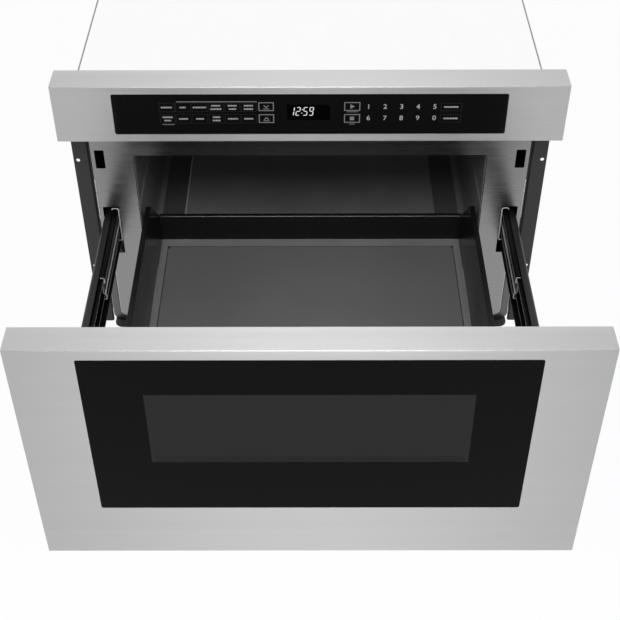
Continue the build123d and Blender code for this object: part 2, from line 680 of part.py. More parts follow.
def fan_rotor():
    """Hub, pitched blades, shaft and the motor's rotor in one turning piece."""
    hub = cylinder_x(13.0, (FAN_X - 8, FAN_X + 12), FAN_Y, FAN_Z)
    pitch = 32.0
    blade_len = FAN_R - 10.0
    rotor = hub
    for index in range(FAN_BLADES):
        outline = Pos(10.0 + blade_len / 2 - 1, 0) * RectangleRounded(blade_len, 26, 9)
        blade = extrude(Plane.XY * outline, amount=1.2)
        blade = Rot(pitch, 0, 0) * blade
        placed = Rot(0, 0, 0) * Rot(index * 360 / FAN_BLADES, 0, 0) * Rot(0, 0, 90) * blade
        rotor += Pos(FAN_X + 2, FAN_Y, FAN_Z) * placed
    rotor += cylinder_x(FAN_SHAFT_R, (FAN_X + 10, FAN_X + 54), FAN_Y, FAN_Z)
    rotor += cylinder_x(13.6, (FAN_X + 37.5, FAN_X + 44.5), FAN_Y, FAN_Z)
    return rotor


def oven_lamp():
    """Lamp in its holder behind the perforated patch of the bulkhead."""
    x, z = 135.0, 240.0
    back = CAVITY_BACK + SHEET
    holder = block((x - 42, x + 42), (back, back + 2), (z - 26, z + 26))
    holder -= along_y(rectangle((x - 36, x + 36), (z - 21, z + 21), 3), (back - 1, back + 3))
    holder += block((x + 22, x + 42), (back, back + 34), (z - 14, z + 14))
    bulb_r, neck_r, reach = 11.0, 8.0, 38.0
    shoulder = math.sqrt(bulb_r**2 - neck_r**2)
    half = make_face(
        [
            Line((0, 0), (0, neck_r)),
            Line((0, neck_r), (reach - bulb_r - shoulder, neck_r)),
            ThreePointArc(
                (reach - bulb_r - shoulder, neck_r),
                (reach - bulb_r, bulb_r),
                (reach, 0),
            ),
            Line((reach, 0), (0, 0)),
        ]
    )
    bulb = revolve(half, axis=Axis.X)
    return holder + Pos(x + 23, back + 17, z) * Rot(0, 0, 180) * bulb


def power_board():
    """Relay and filter board on its posts above the cavity."""
    x, y = (-160.0, -20.0), (-60.0, 65.0)
    low = CAVITY_ROOF + CEILING_FIELD_H
    board = block(x, y, (low + 12, low + 13.6))
    for px in (x[0] + 8, x[1] - 8):
        for py in (y[0] + 8, y[1] - 8):
            board += cylinder_z(3.0, px, py, (low, low + 12))
    top = low + 13.6
    for index, px in enumerate(spread(4, x[0] + 20, x[1] - 20)):
        board += block((px - 10, px + 10), (y[0] + 14, y[0] + 34), (top, top + 17))
    board += cylinder_z(16.0, x[0] + 34, y[1] - 34, (top, top + 24))
    board += block((x[1] - 60, x[1] - 18), (y[1] - 56, y[1] - 20), (top, top + 30))
    return board


# ---------------------------------------------------------------------------------------------
# Control panel
# ---------------------------------------------------------------------------------------------

def fascia(width, z, y, glass_z, lip=0.0, lap=0.0):
    """Folded steel front: a face with a glass opening and four returns."""
    half = width / 2
    shell = block((-half, half), y, z)
    shell = fillet(shell.faces().sort_by(Axis.Y)[0].edges(), FASCIA_EDGE_R)
    hollow_y = (y[0] + FASCIA_T, y[1] - (FASCIA_T if lip else -1))
    shell -= block((-half + FASCIA_T, half - FASCIA_T), hollow_y, (z[0] + FASCIA_T, z[1] - FASCIA_T))
    if lip:
        inside = rectangle((-half + lip, half - lip), (z[0] + lip, z[1] - lip), 3.0)
        shell -= along_y(inside, (y[1] - 3, y[1] + 1))
    if lap:
        shell += block((-half, half), (y[1], y[1] + lap), (z[1] - FASCIA_T, z[1]))
    opening = rectangle((-GLASS_HALF_W, GLASS_HALF_W), glass_z, GLASS_CORNER_R)
    return shell - along_y(opening, (y[0] - 1, y[0] + FASCIA_T + 1))


def glass(face, z, thick):
    """Flat glass, flush in a fascia's opening."""
    half = GLASS_HALF_W - GLASS_GAP
    outline = rectangle((-half, half), (z[0] + GLASS_GAP, z[1] - GLASS_GAP), GLASS_CORNER_R)
    return along_y(outline, (face, face + thick))


def control_housing():
    y = (CONTROL_FACE, FRAME_FACE)
    return fascia(FRONT_W, (CONTROL_BOTTOM, PANEL_TOP), y, CONTROL_GLASS_Z, lap=CONTROL_LAP)


def control_frame():
    """Moulded tray behind the control glass, with ribs that reach back to the front frame."""
    z = (CONTROL_GLASS_Z[0] - 6, CONTROL_GLASS_Z[1] + 6)
    half = GLASS_HALF_W + 6
    y = (CONTROL_FACE + FASCIA_T, FRAME_FACE)
    frame = along_y(rectangle((-half, half), z, 3), y)
    seat = rectangle((-GLASS_HALF_W, GLASS_HALF_W), CONTROL_GLASS_Z, GLASS_CORNER_R)
    frame -= along_y(seat, (y[0] - 1, CONTROL_FACE + CONTROL_GLASS_T))
    web = CONTROL_FACE + CONTROL_GLASS_T + 2.0
    frame -= along_y(rectangle((-half + 2, half - 2), (z[0] + 2, z[1] - 2), 2), (web, y[1] + 1))
    frame -= along_y(rectangle((-DISPLAY_HALF_W, DISPLAY_HALF_W), DISPLAY_Z), (y[0] - 1, web + 1))
    for x in spread(6, -half, half):
        for place in (z[0] + 1, z[1] - 7):
            frame += block((x - 1, x + 1), (web - 0.5, y[1]), (place, place + 6))
    return frame


DISPLAY_HALF_W = 27.0
DISPLAY_Z = (355.0, 379.0)


def control_board():
    """Touch and display board clipped in the control tray."""
    board_y = CONTROL_FACE + CONTROL_GLASS_T + 8.0
    z = (CONTROL_GLASS_Z[0] + 4, CONTROL_GLASS_Z[1] - 4)
    board = block((-200, 200), (board_y, board_y + 1.6), z)
    display = rectangle((-DISPLAY_HALF_W + 0.5, DISPLAY_HALF_W - 0.5), (DISPLAY_Z[0] + 0.5, DISPLAY_Z[1] - 0.5))
    board += along_y(display, (CONTROL_FACE + CONTROL_GLASS_T, board_y))
    for x in (-190.0, -100.0, 100.0, 190.0):
        board += cylinder_y(3.0, x, (CONTROL_FACE + CONTROL_GLASS_T + 2.0, board_y), (z[0] + z[1]) / 2)
    board += block((-150, -110), (board_y + 1.6, board_y + 13), (z[0] + 8, z[0] + 34))
    board += block((90, 150), (board_y + 1.6, board_y + 9), (z[0] + 8, z[0] + 26))
    return board


# ---------------------------------------------------------------------------------------------
# Drawer front
# ---------------------------------------------------------------------------------------------

def drawer_front():
    y = (DRAWER_FACE, DRAWER_BACK)
    return fascia(FRONT_W, (DRAWER_FRONT_BOTTOM, DRAWER_TOP), y, DOOR_GLASS_Z, lip=FRONT_LIP)


def door_core():
    """Glass carrier: a tray behind the glass, open at the window."""
    y = (DRAWER_FACE + FASCIA_T, DOOR_CORE_BACK)
    half = GLASS_HALF_W + CORE_MARGIN
    z = (DOOR_GLASS_Z[0] - CORE_MARGIN, DOOR_GLASS_Z[1] + CORE_MARGIN)
    core = along_y(rectangle((-half, half), z, 5), y)
    seat = rectangle((-GLASS_HALF_W, GLASS_HALF_W), DOOR_GLASS_Z, GLASS_CORNER_R)
    core -= along_y(seat, (y[0] - 1, DRAWER_FACE + DOOR_GLASS_T))
    window = rectangle(
        (-WINDOW_HALF_W - WINDOW_MARGIN, WINDOW_HALF_W + WINDOW_MARGIN),
        (WINDOW_Z[0] - WINDOW_MARGIN, WINDOW_Z[1] + WINDOW_MARGIN),
        3,
    )
    core -= along_y(window, (y[0] - 1, y[1] + 1))
    return core


def window_screen():
    """Perforated screen that lies against the back of the glass carrier."""
    half = WINDOW_HALF_W + SCREEN_MARGIN
    z = (WINDOW_Z[0] - SCREEN_MARGIN, WINDOW_Z[1] + SCREEN_MARGIN)
    sheet = along_y(rectangle((-half, half), z, 4), (DOOR_CORE_BACK, DOOR_CORE_BACK + SCREEN_T))
    field = rectangle((-WINDOW_HALF_W, WINDOW_HALF_W), WINDOW_Z, 3)
    return sheet + along_y(field, (DOOR_CORE_BACK - 2.0, DOOR_CORE_BACK))


def door_panel():
    """Pressed inner panel: plateau with a sunk window field, choke channel and bolted border."""
    face = (DOOR_CORE_BACK + SCREEN_T, INNER_FACE)
    edge_x = CHOKE_OUT_X + PLATEAU_MARGIN
    z_in = CHOKE_IN_Z
    z_out = (z_in[0] - CHOKE_W, z_in[1] + CHOKE_W)
    edge_z = (z_out[0] - PLATEAU_MARGIN, z_out[1] + PLATEAU_MARGIN)
    t = INNER_SKIN
    border = rectangle((-INNER_HALF_W, INNER_HALF_W), INNER_Z, 8)
    raised = rectangle((-edge_x, edge_x), edge_z, 6)
    panel = along_y(border, (face[0], BORDER_FACE)) + along_y(raised, face)
    outer_ring = rectangle((-INNER_HALF_W + t, INNER_HALF_W - t), (INNER_Z[0] + t, INNER_Z[1] - t), 6.5)
    panel -= along_y(outer_ring - offset(raised, amount=-t), (face[0] - 1, BORDER_FACE - t))
    groove_out = rectangle((-CHOKE_OUT_X, CHOKE_OUT_X), z_out, 4)
    groove_in = rectangle((-CHOKE_IN_X, CHOKE_IN_X), z_in, 3)
    panel -= along_y(offset(raised, amount=-t) - offset(groove_out, amount=t), (face[0] - 1, face[1] - t))
    panel -= along_y(groove_out - groove_in, (face[1] - CHOKE_DEPTH, face[1] + 1))
    panel -= along_y(offset(groove_in, amount=-t), (face[0] - 1, face[1] - t))
    window = rectangle((-WINDOW_HALF_W, WINDOW_HALF_W), WINDOW_Z, 3)
    return panel - along_y(window, (face[1] - t / 2, face[1] + 1))


def choke_cover():
    """Moulded ring that closes the choke channel."""
    edge_x = CHOKE_OUT_X + PLATEAU_MARGIN
    inner = 4.0
    z_in = (CHOKE_IN_Z[0] + inner, CHOKE_IN_Z[1] - inner)
    margin = CHOKE_W + PLATEAU_MARGIN
    z_out = (CHOKE_IN_Z[0] - margin, CHOKE_IN_Z[1] + margin)
    ring = rectangle((-edge_x, edge_x), z_out, 6) - rectangle((-CHOKE_IN_X + inner, CHOKE_IN_X - inner), z_in, 5)
    cover = along_y(ring, (INNER_FACE, DRAWER_BACK))
    cover = chamfer(cover.faces().sort_by(Axis.Y)[-1].outer_wire().edges(), 1.0)
    hook = 5.0
    for x in spread(6, -CHOKE_IN_X, CHOKE_IN_X):
        for z in (CHOKE_IN_Z[0] - 2.5, CHOKE_IN_Z[1] + 0.5):
            cover += block((x - 6, x + 6), (INNER_FACE - hook, INNER_FACE), (z, z + 2.0))
    return cover


def latch_hook():
    """Right hook: a bolted foot and a tongue with its catch."""
    foot = block((HOOK_X[0] - 4, HOOK_X[1] + 14), (BORDER_FACE, BORDER_FACE + 3), (HOOK_Z[0] - 4, HOOK_Z[1] + 4))
    tip = DRAWER_BACK + HOOK_REACH
    low, high = HOOK_Z
    tongue = Polygon(
        (BORDER_FACE, low),
        (tip - 12, low),
        (tip - 12, low - 3),
        (tip - 8, low - 3),
        (tip, low + 5),
        (tip, high - 5),
        (tip - 5, high),
        (BORDER_FACE, high),
        align=None,
    )
    return foot + along_x(tongue, HOOK_X)


# ---------------------------------------------------------------------------------------------
# Cooking pan
# ---------------------------------------------------------------------------------------------

def pan():
    """One pressed pan: rimmed sides that slope down to a lower back, a ledge and a sunk floor."""
    w, t = PAN_HALF_W, PAN_WALL
    sunk = PAN_FLOOR - PLATE_T
    ledge_x = w - LEDGE_SIDE
    right = [
        (w + PAN_RIM, PAN_RIM_Z - PAN_RIM_DROP),
        (w + PAN_RIM, PAN_RIM_Z),
        (w, PAN_RIM_Z),
        (w, PAN_FLOOR),
        (ledge_x, PAN_FLOOR),
        (ledge_x, sunk),
    ]
    left = [(-x, z) for x, z in reversed(right)]
    section = folded(right + left, t, [0.6, 0.6, 3.0, 1.0, 1.0, 1.0, 1.0, 3.0, 0.6, 0.6])
    body = along_y(section, (PAN_FRONT, PAN_BACK))
    slope = PAN_RIM_Z - PAN_BACK_Z
    cut = Polygon(
        (PAN_BACK - slope, PAN_RIM_Z),
        (PAN_BACK - slope, PAN_RIM_Z + 20),
        (PAN_BACK + 20, PAN_RIM_Z + 20),
        (PAN_BACK + 20, PAN_BACK_Z),
        (PAN_BACK, PAN_BACK_Z),
        align=None,
    )
    body -= along_x(cut, (-w - 20, w + 20))
    diagonal = t * math.sqrt(2)
    strip = Polygon(
        (PAN_BACK - slope - 2, PAN_RIM_Z),
        (PAN_BACK - slope, PAN_RIM_Z),
        (PAN_BACK, PAN_BACK_Z),
        (PAN_BACK, PAN_BACK_Z - diagonal),
        (PAN_BACK - slope - 2, PAN_RIM_Z - diagonal),
        align=None,
    )
    for x in ((w, w + PAN_RIM), (-w - PAN_RIM, -w)):
        body += along_x(strip, x)
    low = sunk - t
    back = [
        (PAN_BACK + PAN_BACK_RIM, PAN_BACK_Z - 6),
        (PAN_BACK + PAN_BACK_RIM, PAN_BACK_Z),
        (PAN_BACK, PAN_BACK_Z),
        (PAN_BACK, PAN_FLOOR),
        (PAN_BACK - LEDGE_BACK, PAN_FLOOR),
        (PAN_BACK - LEDGE_BACK, low),
    ]
    seam = ledge_x + LEDGE_SIDE / 3
    inner = ledge_x + LEDGE_SIDE / 2
    wall = along_x(folded(back, t, [0.6, 0.6, 3.0, 1.0]), (-inner, inner))
    for x in ((-w - t, -inner), (inner, w + t)):
        wall += block(x, (PAN_BACK, PAN_BACK + t), (PAN_FLOOR - t, PAN_BACK_Z))
    corner_y = (PAN_BACK - 0.5, PAN_BACK + PAN_BACK_RIM)
    wall += block((-w - PAN_RIM, w + PAN_RIM), corner_y, (PAN_BACK_Z - t, PAN_BACK_Z))
    keep_y = (PAN_BACK - LEDGE_BACK, PAN_BACK)
    body -= block((-seam, seam), keep_y, (low - 1, PAN_FLOOR + 1))
    front_ledge = block((-ledge_x, ledge_x), (PAN_FRONT, PAN_FRONT + LEDGE_SIDE), (low, PAN_FLOOR))
    front_ledge -= block((-ledge_x, ledge_x), (PAN_FRONT - 1, PAN_FRONT + LEDGE_SIDE - t), (low - 1, PAN_FLOOR - t))
    return body + wall + front_ledge


def floor_plate():
    """Ceramic plate, sunk flush in the pan's floor."""
    half = PAN_HALF_W - LEDGE_SIDE - PLATE_GAP
    y = (PAN_FRONT + LEDGE_SIDE + PLATE_GAP, PAN_BACK - LEDGE_BACK - PLATE_GAP)
    plate = along_z(rectangle((-half, half), y, PLATE_R), (PAN_FLOOR - PLATE_T, PAN_FLOOR))
    ends = plate.faces().sort_by(Axis.Z)
    return chamfer(ends[0].edges() + ends[-1].edges(), 0.6)


# ---------------------------------------------------------------------------------------------
# Slides, drawn for the +X side
# ---------------------------------------------------------------------------------------------

def slide_cabinet():
    """Outer member: a channel open to the outside, its lips curled round the ball tracks."""
    x, half = CABINET_X, CABINET_H / 2
    curl = 3.0
    path = [
        (x[1], SLIDE_Z + half - curl),
        (x[1], SLIDE_Z + half),
        (x[0], SLIDE_Z + half),
        (x[0], SLIDE_Z - half),
        (x[1], SLIDE_Z - half),
        (x[1], SLIDE_Z - half + curl),
    ]
    member = along_y(folded(path, SLIDE_T, 1.4), CABINET_Y)
    for y in (CABINET_Y[0] + 60, 0.0, CABINET_Y[1] - 30):
        member -= cylinder_x(2.6, (x[0] - 1, x[0] + 2), y, SLIDE_Z)
    return member


def slide_middle():
    """Middle member: a deep web pressed back between two beads, open to the outside."""
    x, half = MIDDLE_X, MIDDLE_H / 2
    web = x[0] + MIDDLE_WEB
    inner = half - MIDDLE_BEAD
    path = [
        (x[1], SLIDE_Z + half),
        (x[0], SLIDE_Z + half),
        (x[0], SLIDE_Z + inner + 2.0),
        (web, SLIDE_Z + inner),
        (web, SLIDE_Z - inner),
        (x[0], SLIDE_Z - inner - 2.0),
        (x[0], SLIDE_Z - half),
        (x[1], SLIDE_Z - half),
    ]
    member = along_y(folded(path, SLIDE_T, 1.2), MIDDLE_Y)
    for y in spread(3, MIDDLE_Y[0] + 30, MIDDLE_Y[1] - 30):
        member -= along_x(Pos(y, SLIDE_Z) * SlotOverall(26, 7), (web - 1, web + 3))
    return member


def slide_drawer():
    """Inner member: a shallow channel on the beam's web, open to the oven."""
    x, half = DRAWER_MEMBER_X, DRAWER_MEMBER_H / 2
    path = [
        (x[0], SLIDE_Z - half),
        (x[1], SLIDE_Z - half),
        (x[1], SLIDE_Z + half),
        (x[0], SLIDE_Z + half),
    ]
    member = along_y(folded(path, SLIDE_T, 1.4), (BORDER_FACE + 14, DRAWER_MEMBER_BACK))
    for y in (BORDER_FACE + 60, (BORDER_FACE + DRAWER_MEMBER_BACK) / 2, DRAWER_MEMBER_BACK - 30):
        member -= cylinder_x(2.6, (x[1] - 3, x[1] + 1), y, SLIDE_Z)
    return member


def drawer_beam():
    """Channel that carries the pan side and the drawer front, with a bolted tab at its front."""
    x, z = BEAM_X, BEAM_Z
    path = [
        (x[0], z[0]),
        (x[1], z[0]),
        (x[1], z[1]),
        (x[1] - BEAM_TOP_FLANGE, z[1]),
    ]
    beam = along_y(folded(path, BEAM_T), (BORDER_FACE, BEAM_BACK))
    tab = block((x[1] - BEAM_T, x[1] + BEAM_TAB), (BORDER_FACE, BORDER_FACE + BEAM_T), (z[0] + 4, z[1] - 4))
    return beam + tab


def ball_row(radius, x, z, y_range):
    """One row of balls at its height."""
    return [Pos(x, y, z) * Sphere(radius) for y in spread(BALLS_PER_ROW, *y_range)]


def ball_cage_outer():
    """Strip bent round the middle member, with a row of balls above and below it."""
    lip_in = CABINET_H / 2 - SLIDE_T
    half = (lip_in + MIDDLE_H / 2) / 2
    reach = OUTER_BALL_X + OUTER_BALL_R - 0.6
    web = (CABINET_X[0] + SLIDE_T + MIDDLE_X[0] - CAGE_T) / 2
    path = [
        (reach, SLIDE_Z + half + CAGE_T / 2),
        (web, SLIDE_Z + half + CAGE_T / 2),
        (web, SLIDE_Z - half - CAGE_T / 2),
        (reach, SLIDE_Z - half - CAGE_T / 2),
    ]
    cage = along_y(folded(path, CAGE_T, 0.8), OUTER_CAGE_Y)
    for z in (SLIDE_Z + half, SLIDE_Z - half):
        for ball in ball_row(OUTER_BALL_R, OUTER_BALL_X, z, OUTER_CAGE_Y):
            cage += ball
    return cage


def ball_cage_inner():
    """Two flat strips of balls, above and below the inner member."""
    lip_in = MIDDLE_H / 2 - SLIDE_T
    half = (lip_in + DRAWER_MEMBER_H / 2) / 2
    x = (INNER_BALL_X - INNER_BALL_R + 0.3, INNER_BALL_X + INNER_BALL_R - 0.3)
    strips = []
    for z in (SLIDE_Z + half, SLIDE_Z - half):
        strip = block(x, INNER_CAGE_Y, (z - CAGE_T / 2, z + CAGE_T / 2))
        for ball in ball_row(INNER_BALL_R, INNER_BALL_X, z, INNER_CAGE_Y):
            strip += ball
        strips.append(strip)
    return Compound(strips)


def slide_brackets():
    """Two hat-section rails that hold the outer members off the cavity walls."""
    x = CABINET_X[0]
    foot = CAVITY_OUT + SLIDE_T
    half = 18.0
    path = [
        (foot, SLIDE_Z + half + BRACKET_FOOT),
        (foot, SLIDE_Z + half),
        (x, SLIDE_Z + half),
        (x, SLIDE_Z - half),
        (foot, SLIDE_Z - half),
        (foot, SLIDE_Z - half - BRACKET_FOOT),
    ]
    rail = along_y(folded(path[::-1], SLIDE_T), BRACKET_Y)
    return Compound([rail, mirrored(rail)])


# ---------------------------------------------------------------------------------------------
# Rack and pinion
# ---------------------------------------------------------------------------------------------

def drive_rack():
    """Straight rack under the left beam; a gap between teeth sits over the pinion at rest."""
    pitch = math.pi * MODULE
    lean = math.tan(math.radians(PRESSURE_ANGLE))
    start, end = BORDER_FACE + 40.0, BEAM_BACK
    tip_z, root_z = RACK_PITCH_Z - TOOTH_HEAD, RACK_PITCH_Z + TOOTH_FOOT
    half = pitch / 4 - TOOTH_PLAY / 4
    bar = along_x(rectangle((start, end), (root_z, BEAM_Z[0])), RACK_X)
    tooth = Polygon(
        (-half - TOOTH_FOOT * lean, root_z + 0.2),
        (-half - TOOTH_FOOT * lean, root_z),
        (-half + TOOTH_HEAD * lean, tip_z),
        (half - TOOTH_HEAD * lean, tip_z),
        (half + TOOTH_FOOT * lean, root_z),
        (half + TOOTH_FOOT * lean, root_z + 0.2),
        align=None,
    )
    first = math.ceil((start - PINION_Y) / pitch)
    last = math.floor((end - PINION_Y) / pitch) - 1
    teeth = [Pos(PINION_Y + (index + 0.5) * pitch, 0) * tooth for index in range(first, last + 1)]
    return bar + along_x(Sketch() + teeth, RACK_X)


def involute(base, angle):
    """Point of an involute of the base circle, unrolled by the angle."""
    return (
        base * (math.cos(angle) + angle * math.sin(angle)),
        base * (math.sin(angle) - angle * math.cos(angle)),
    )


def drive_pinion():
    """Involute pinion with its shaft into the gearbox, one tooth upright at rest."""
    alpha = math.radians(PRESSURE_ANGLE)
    base = PINION_R * math.cos(alpha)
    tip, root = PINION_R + TOOTH_HEAD, PINION_R - TOOTH_FOOT
    half_tooth = (math.pi / 2 - TOOTH_PLAY / MODULE / 2) / PINION_TEETH
    start = half_tooth + math.tan(alpha) - alpha
    end_roll = math.sqrt((tip / base) ** 2 - 1)
    flank = [involute(base, end_roll * step / 4) for step in range(5)]
    turn = lambda p, a: (p[0] * math.cos(a) - p[1] * math.sin(a), p[0] * math.sin(a) + p[1] * math.cos(a))
    lower = [turn(p, -start) for p in flank]
    upper = [(x, -y) for x, y in reversed(lower)]
    foot = (root - 1) * math.cos(start), (root - 1) * math.sin(start)
    tooth_line = Spline(*lower)
    tooth_back = Spline(*upper)
    tooth = make_face(
        [
            Line((foot[0], -foot[1]), lower[0]),
            tooth_line,
            Line(lower[-1], upper[0]),
            tooth_back,
            Line(upper[-1], foot),
            Line(foot, (foot[0], -foot[1])),
        ]
    )
    wheel = Circle(root)
    for index in range(PINION_TEETH):
        wheel += Rot(0, 0, 90 + 360 * index / PINION_TEETH) * tooth
    gear = along_x(Pos(PINION_Y, PINION_Z) * wheel, PINION_X)
    shaft_x = (GEARBOX_X[1] - 14.0, PINION_X[1])
    return gear + cylinder_x(PINION_SHAFT_R, shaft_x, PINION_Y, PINION_Z)


def gearbox():
    """Ribbed gear case on the cavity wall, bored for the pinion's shaft."""
    case = along_x(rectangle(GEARBOX_Y, GEARBOX_Z, 8), GEARBOX_X)
    case = chamfer(case.faces().sort_by(Axis.X)[-1].edges(), 1.5)
    case += cylinder_x(10.0, (GEARBOX_X[1] - 1, GEARBOX_X[1] + 3), PINION_Y, PINION_Z)
    bore = PINION_SHAFT_R + SHAFT_FIT
    case -= cylinder_x(bore, (GEARBOX_X[1] - 16, GEARBOX_X[1] + 4), PINION_Y, PINION_Z)
    for y in (GEARBOX_Y[0] + 9, GEARBOX_Y[1] - 9):
        case += cylinder_x(4.0, (GEARBOX_X[1] - 1, GEARBOX_X[1] + 1.2), y, GEARBOX_Z[0] + 9)
    return case


def drive_motor():
    """Small motor flanged to the back of the gearbox."""
    x = (GEARBOX_X[0] + GEARBOX_X[1]) / 2 + 2
    z = (GEARBOX_Z[0] + GEARBOX_Z[1]) / 2
    start = GEARBOX_Y[1]
    can = cylinder_y(DRIVE_MOTOR_R, x, (start, start + DRIVE_MOTOR_L), z)
    can = fillet(can.faces().sort_by(Axis.Y)[-1].edges(), 3.0)
    can += cylinder_y(6.0, x, (start + DRIVE_MOTOR_L - 1, start + DRIVE_MOTOR_L + 3), z)
    for dz in (-9.0, 9.0):
        can += block((x - 3, x + 3), (start + DRIVE_MOTOR_L - 1, start + DRIVE_MOTOR_L + 7), (z + dz - 0.4, z + dz + 0.4))
    return can


# ---------------------------------------------------------------------------------------------
# Door switches
# ---------------------------------------------------------------------------------------------

def switch_brackets():
    """Two angle brackets on the cavity's roof, each with a wall for its pair of switches."""
    wall_x = HOOK_X[0] - 6.0
    closed_tip = DRAWER_BACK + TRAVEL + HOOK_REACH
    y = (closed_tip - 14, closed_tip + SWITCH_SIZE[1] + 6)
    foot = CAVITY_ROOF + SLIDE_T
    path = [(CAVITY_OUT - 8, foot), (wall_x, foot), (wall_x, CAVITY_ROOF - 24)]
    plate = along_y(folded(path[::-1], SLIDE_T), (closed_tip + SWITCH_CLEAR, y[1]))
    return Compound([plate, mirrored(plate)])


def door_switches():
    """Four identical micro switches, two behind each latch hook."""
    closed_tip = DRAWER_BACK + TRAVEL + HOOK_REACH
    wide, long, high = SWITCH_SIZE
    wall_x = HOOK_X[0] - 6.0
    y = (closed_tip + SWITCH_CLEAR + 2, closed_tip + SWITCH_CLEAR + 2 + long)
    switches = []
    for low in (CAVITY_ROOF - 22, CAVITY_ROOF - 4):
        body = block((wall_x, wall_x + wide), y, (low, low + high))
        body += block((wall_x + 3, wall_x + 7), (y[0] - 2, y[0]), (low + 5, low + 9))
        switches += [body, mirrored(body)]
    return Compound(switches)


# ---------------------------------------------------------------------------------------------
# Screws
# ---------------------------------------------------------------------------------------------

def case_screws():
    """Hexagon washer heads that hold the lid and the back panel."""
    head_r, head_h = 4.0, 2.4
    screws = []
    for x in spread(4, -CASE_HALF, CASE_HALF):
        head = Pos(x, CASE_BACK - 13.5) * RegularPolygon(head_r, 6)
        screws.append(along_z(head, (CASE_TOP, CASE_TOP + head_h)))
    for side in (-1, 1):
        for z in (60.0, CASE_TOP - 46.0):
            head = Pos(side * (CASE_IN - 7), z) * RegularPolygon(head_r, 6)
            screws.append(along_y(head, (CASE_BACK, CASE_BACK + head_h)))
    return Compound(screws)


def drawer_screws():
    """Pan heads that bolt the beams' tabs to the inner panel."""
    head_r, head_h = 4.0, 2.2
    place = BEAM_X[1] + BEAM_TAB / 2 + 1
    start = BORDER_FACE + BEAM_T
    screws = []
    for side in (-1, 1):
        for z in (BEAM_Z[0] + 14, BEAM_Z[1] - 14):
            head = cylinder_y(head_r, side * place, (start, start + head_h), z)
            screws.append(fillet(head.faces().sort_by(Axis.Y)[-1].edges(), 1.2))
    return Compound(screws)


# ---------------------------------------------------------------------------------------------
# Nodes
# ---------------------------------------------------------------------------------------------

SINGLE = {
    "base_plate": base_plate,
    "back_panel": back_panel,
    "top_cover": top_cover,
    "front_frame": front_frame,
    "cord_bushing": cord_bushing,
    "cavity_floor": cavity_floor,
    "cavity_ceiling": cavity_ceiling,
    "rear_bulkhead": rear_bulkhead,
    "stirrer_cover": stirrer_cover,
    "stirrer": stirrer,
    "stirrer_motor": stirrer_motor,
    "waveguide": waveguide,
    "magnetron": magnetron,
    "transformer_core": transformer_core,
    "transformer_coils": transformer_coils,
    "capacitor": capacitor,
    "fan_bracket": fan_bracket,
    "fan_motor": fan_motor,
    "fan_rotor": fan_rotor,
    "oven_lamp": oven_lamp,
    "power_board": power_board,
    "control_housing": control_housing,
    "control_glass": lambda: glass(CONTROL_FACE, CONTROL_GLASS_Z, CONTROL_GLASS_T),
    "control_frame": control_frame,
    "control_board": control_board,
    "slide_brackets": slide_brackets,
    "switch_brackets": switch_brackets,
    "door_switches": door_switches,
    "case_screws": case_screws,
    "drawer_front": drawer_front,
    "door_glass": lambda: glass(DRAWER_FACE, DOOR_GLASS_Z, DOOR_GLASS_T),
    "door_core": door_core,
    "window_screen": window_screen,
    "door_panel": door_panel,
    "choke_cover": choke_cover,
    "pan": pan,
    "floor_plate": floor_plate,
    "drawer_screws": drawer_screws,
}

LEFT_ONLY = {
    "gearbox": gearbox,
    "drive_motor": drive_motor,
    "drive_pinion": drive_pinion,
    "drive_rack": drive_rack,
}

PAIRS = {
    "side_panel": side_panel,
    "cavity_wall": cavity_wall,
    "slide_cabinet": slide_cabinet,
    "slide_middle": slide_middle,
    "slide_drawer": slide_drawer,
    "drawer_beam": drawer_beam,
    "ball_cage_outer": ball_cage_outer,
    "ball_cage_inner": ball_cage_inner,
    "latch_hook": latch_hook,
}


def save(name, shape):
    export_step(shape, f"parts/{name}.step")


for name, make in SINGLE.items():
    save(name, make())
for name, make in LEFT_ONLY.items():
    save(name, mirrored(make()))
for name, make in PAIRS.items():
    right = make()
    save(f"{name}_right", right)
    save(f"{name}_left", mirrored(right))
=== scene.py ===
# %% [markdown]
# # A microwave drawer, dressed in Blender
#
# The model arrives as a finished frame: sixty steel, glass and plastic nodes that already have
# their true sizes. This lesson gives them their finishes, adds the printed marks and the lights
# of a product studio, and sets the camera. The frame is loaded first, because every piece that
# is added later takes its place from it. The standard view is chosen too, so that a colour shows
# on the screen as it is written here.

# %% Load the frame
import math

import bmesh
import bpy
from mathutils import Matrix, Vector


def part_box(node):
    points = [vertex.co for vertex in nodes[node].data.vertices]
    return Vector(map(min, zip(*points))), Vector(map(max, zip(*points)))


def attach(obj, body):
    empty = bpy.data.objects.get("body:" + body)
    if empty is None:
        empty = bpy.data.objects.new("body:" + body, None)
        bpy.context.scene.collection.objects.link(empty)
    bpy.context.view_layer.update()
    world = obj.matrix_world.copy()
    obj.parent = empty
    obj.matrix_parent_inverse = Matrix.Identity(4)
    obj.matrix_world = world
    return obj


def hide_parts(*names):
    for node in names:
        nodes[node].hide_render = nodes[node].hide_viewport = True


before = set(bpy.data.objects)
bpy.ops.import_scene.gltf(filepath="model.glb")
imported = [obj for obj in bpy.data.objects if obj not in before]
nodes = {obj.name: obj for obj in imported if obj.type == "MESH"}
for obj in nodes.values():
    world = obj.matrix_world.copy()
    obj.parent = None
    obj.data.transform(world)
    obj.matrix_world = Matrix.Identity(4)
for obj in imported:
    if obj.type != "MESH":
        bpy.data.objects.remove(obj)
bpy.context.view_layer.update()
scene = bpy.context.scene
scene.view_settings.view_transform = "Standard"
MM = 0.001
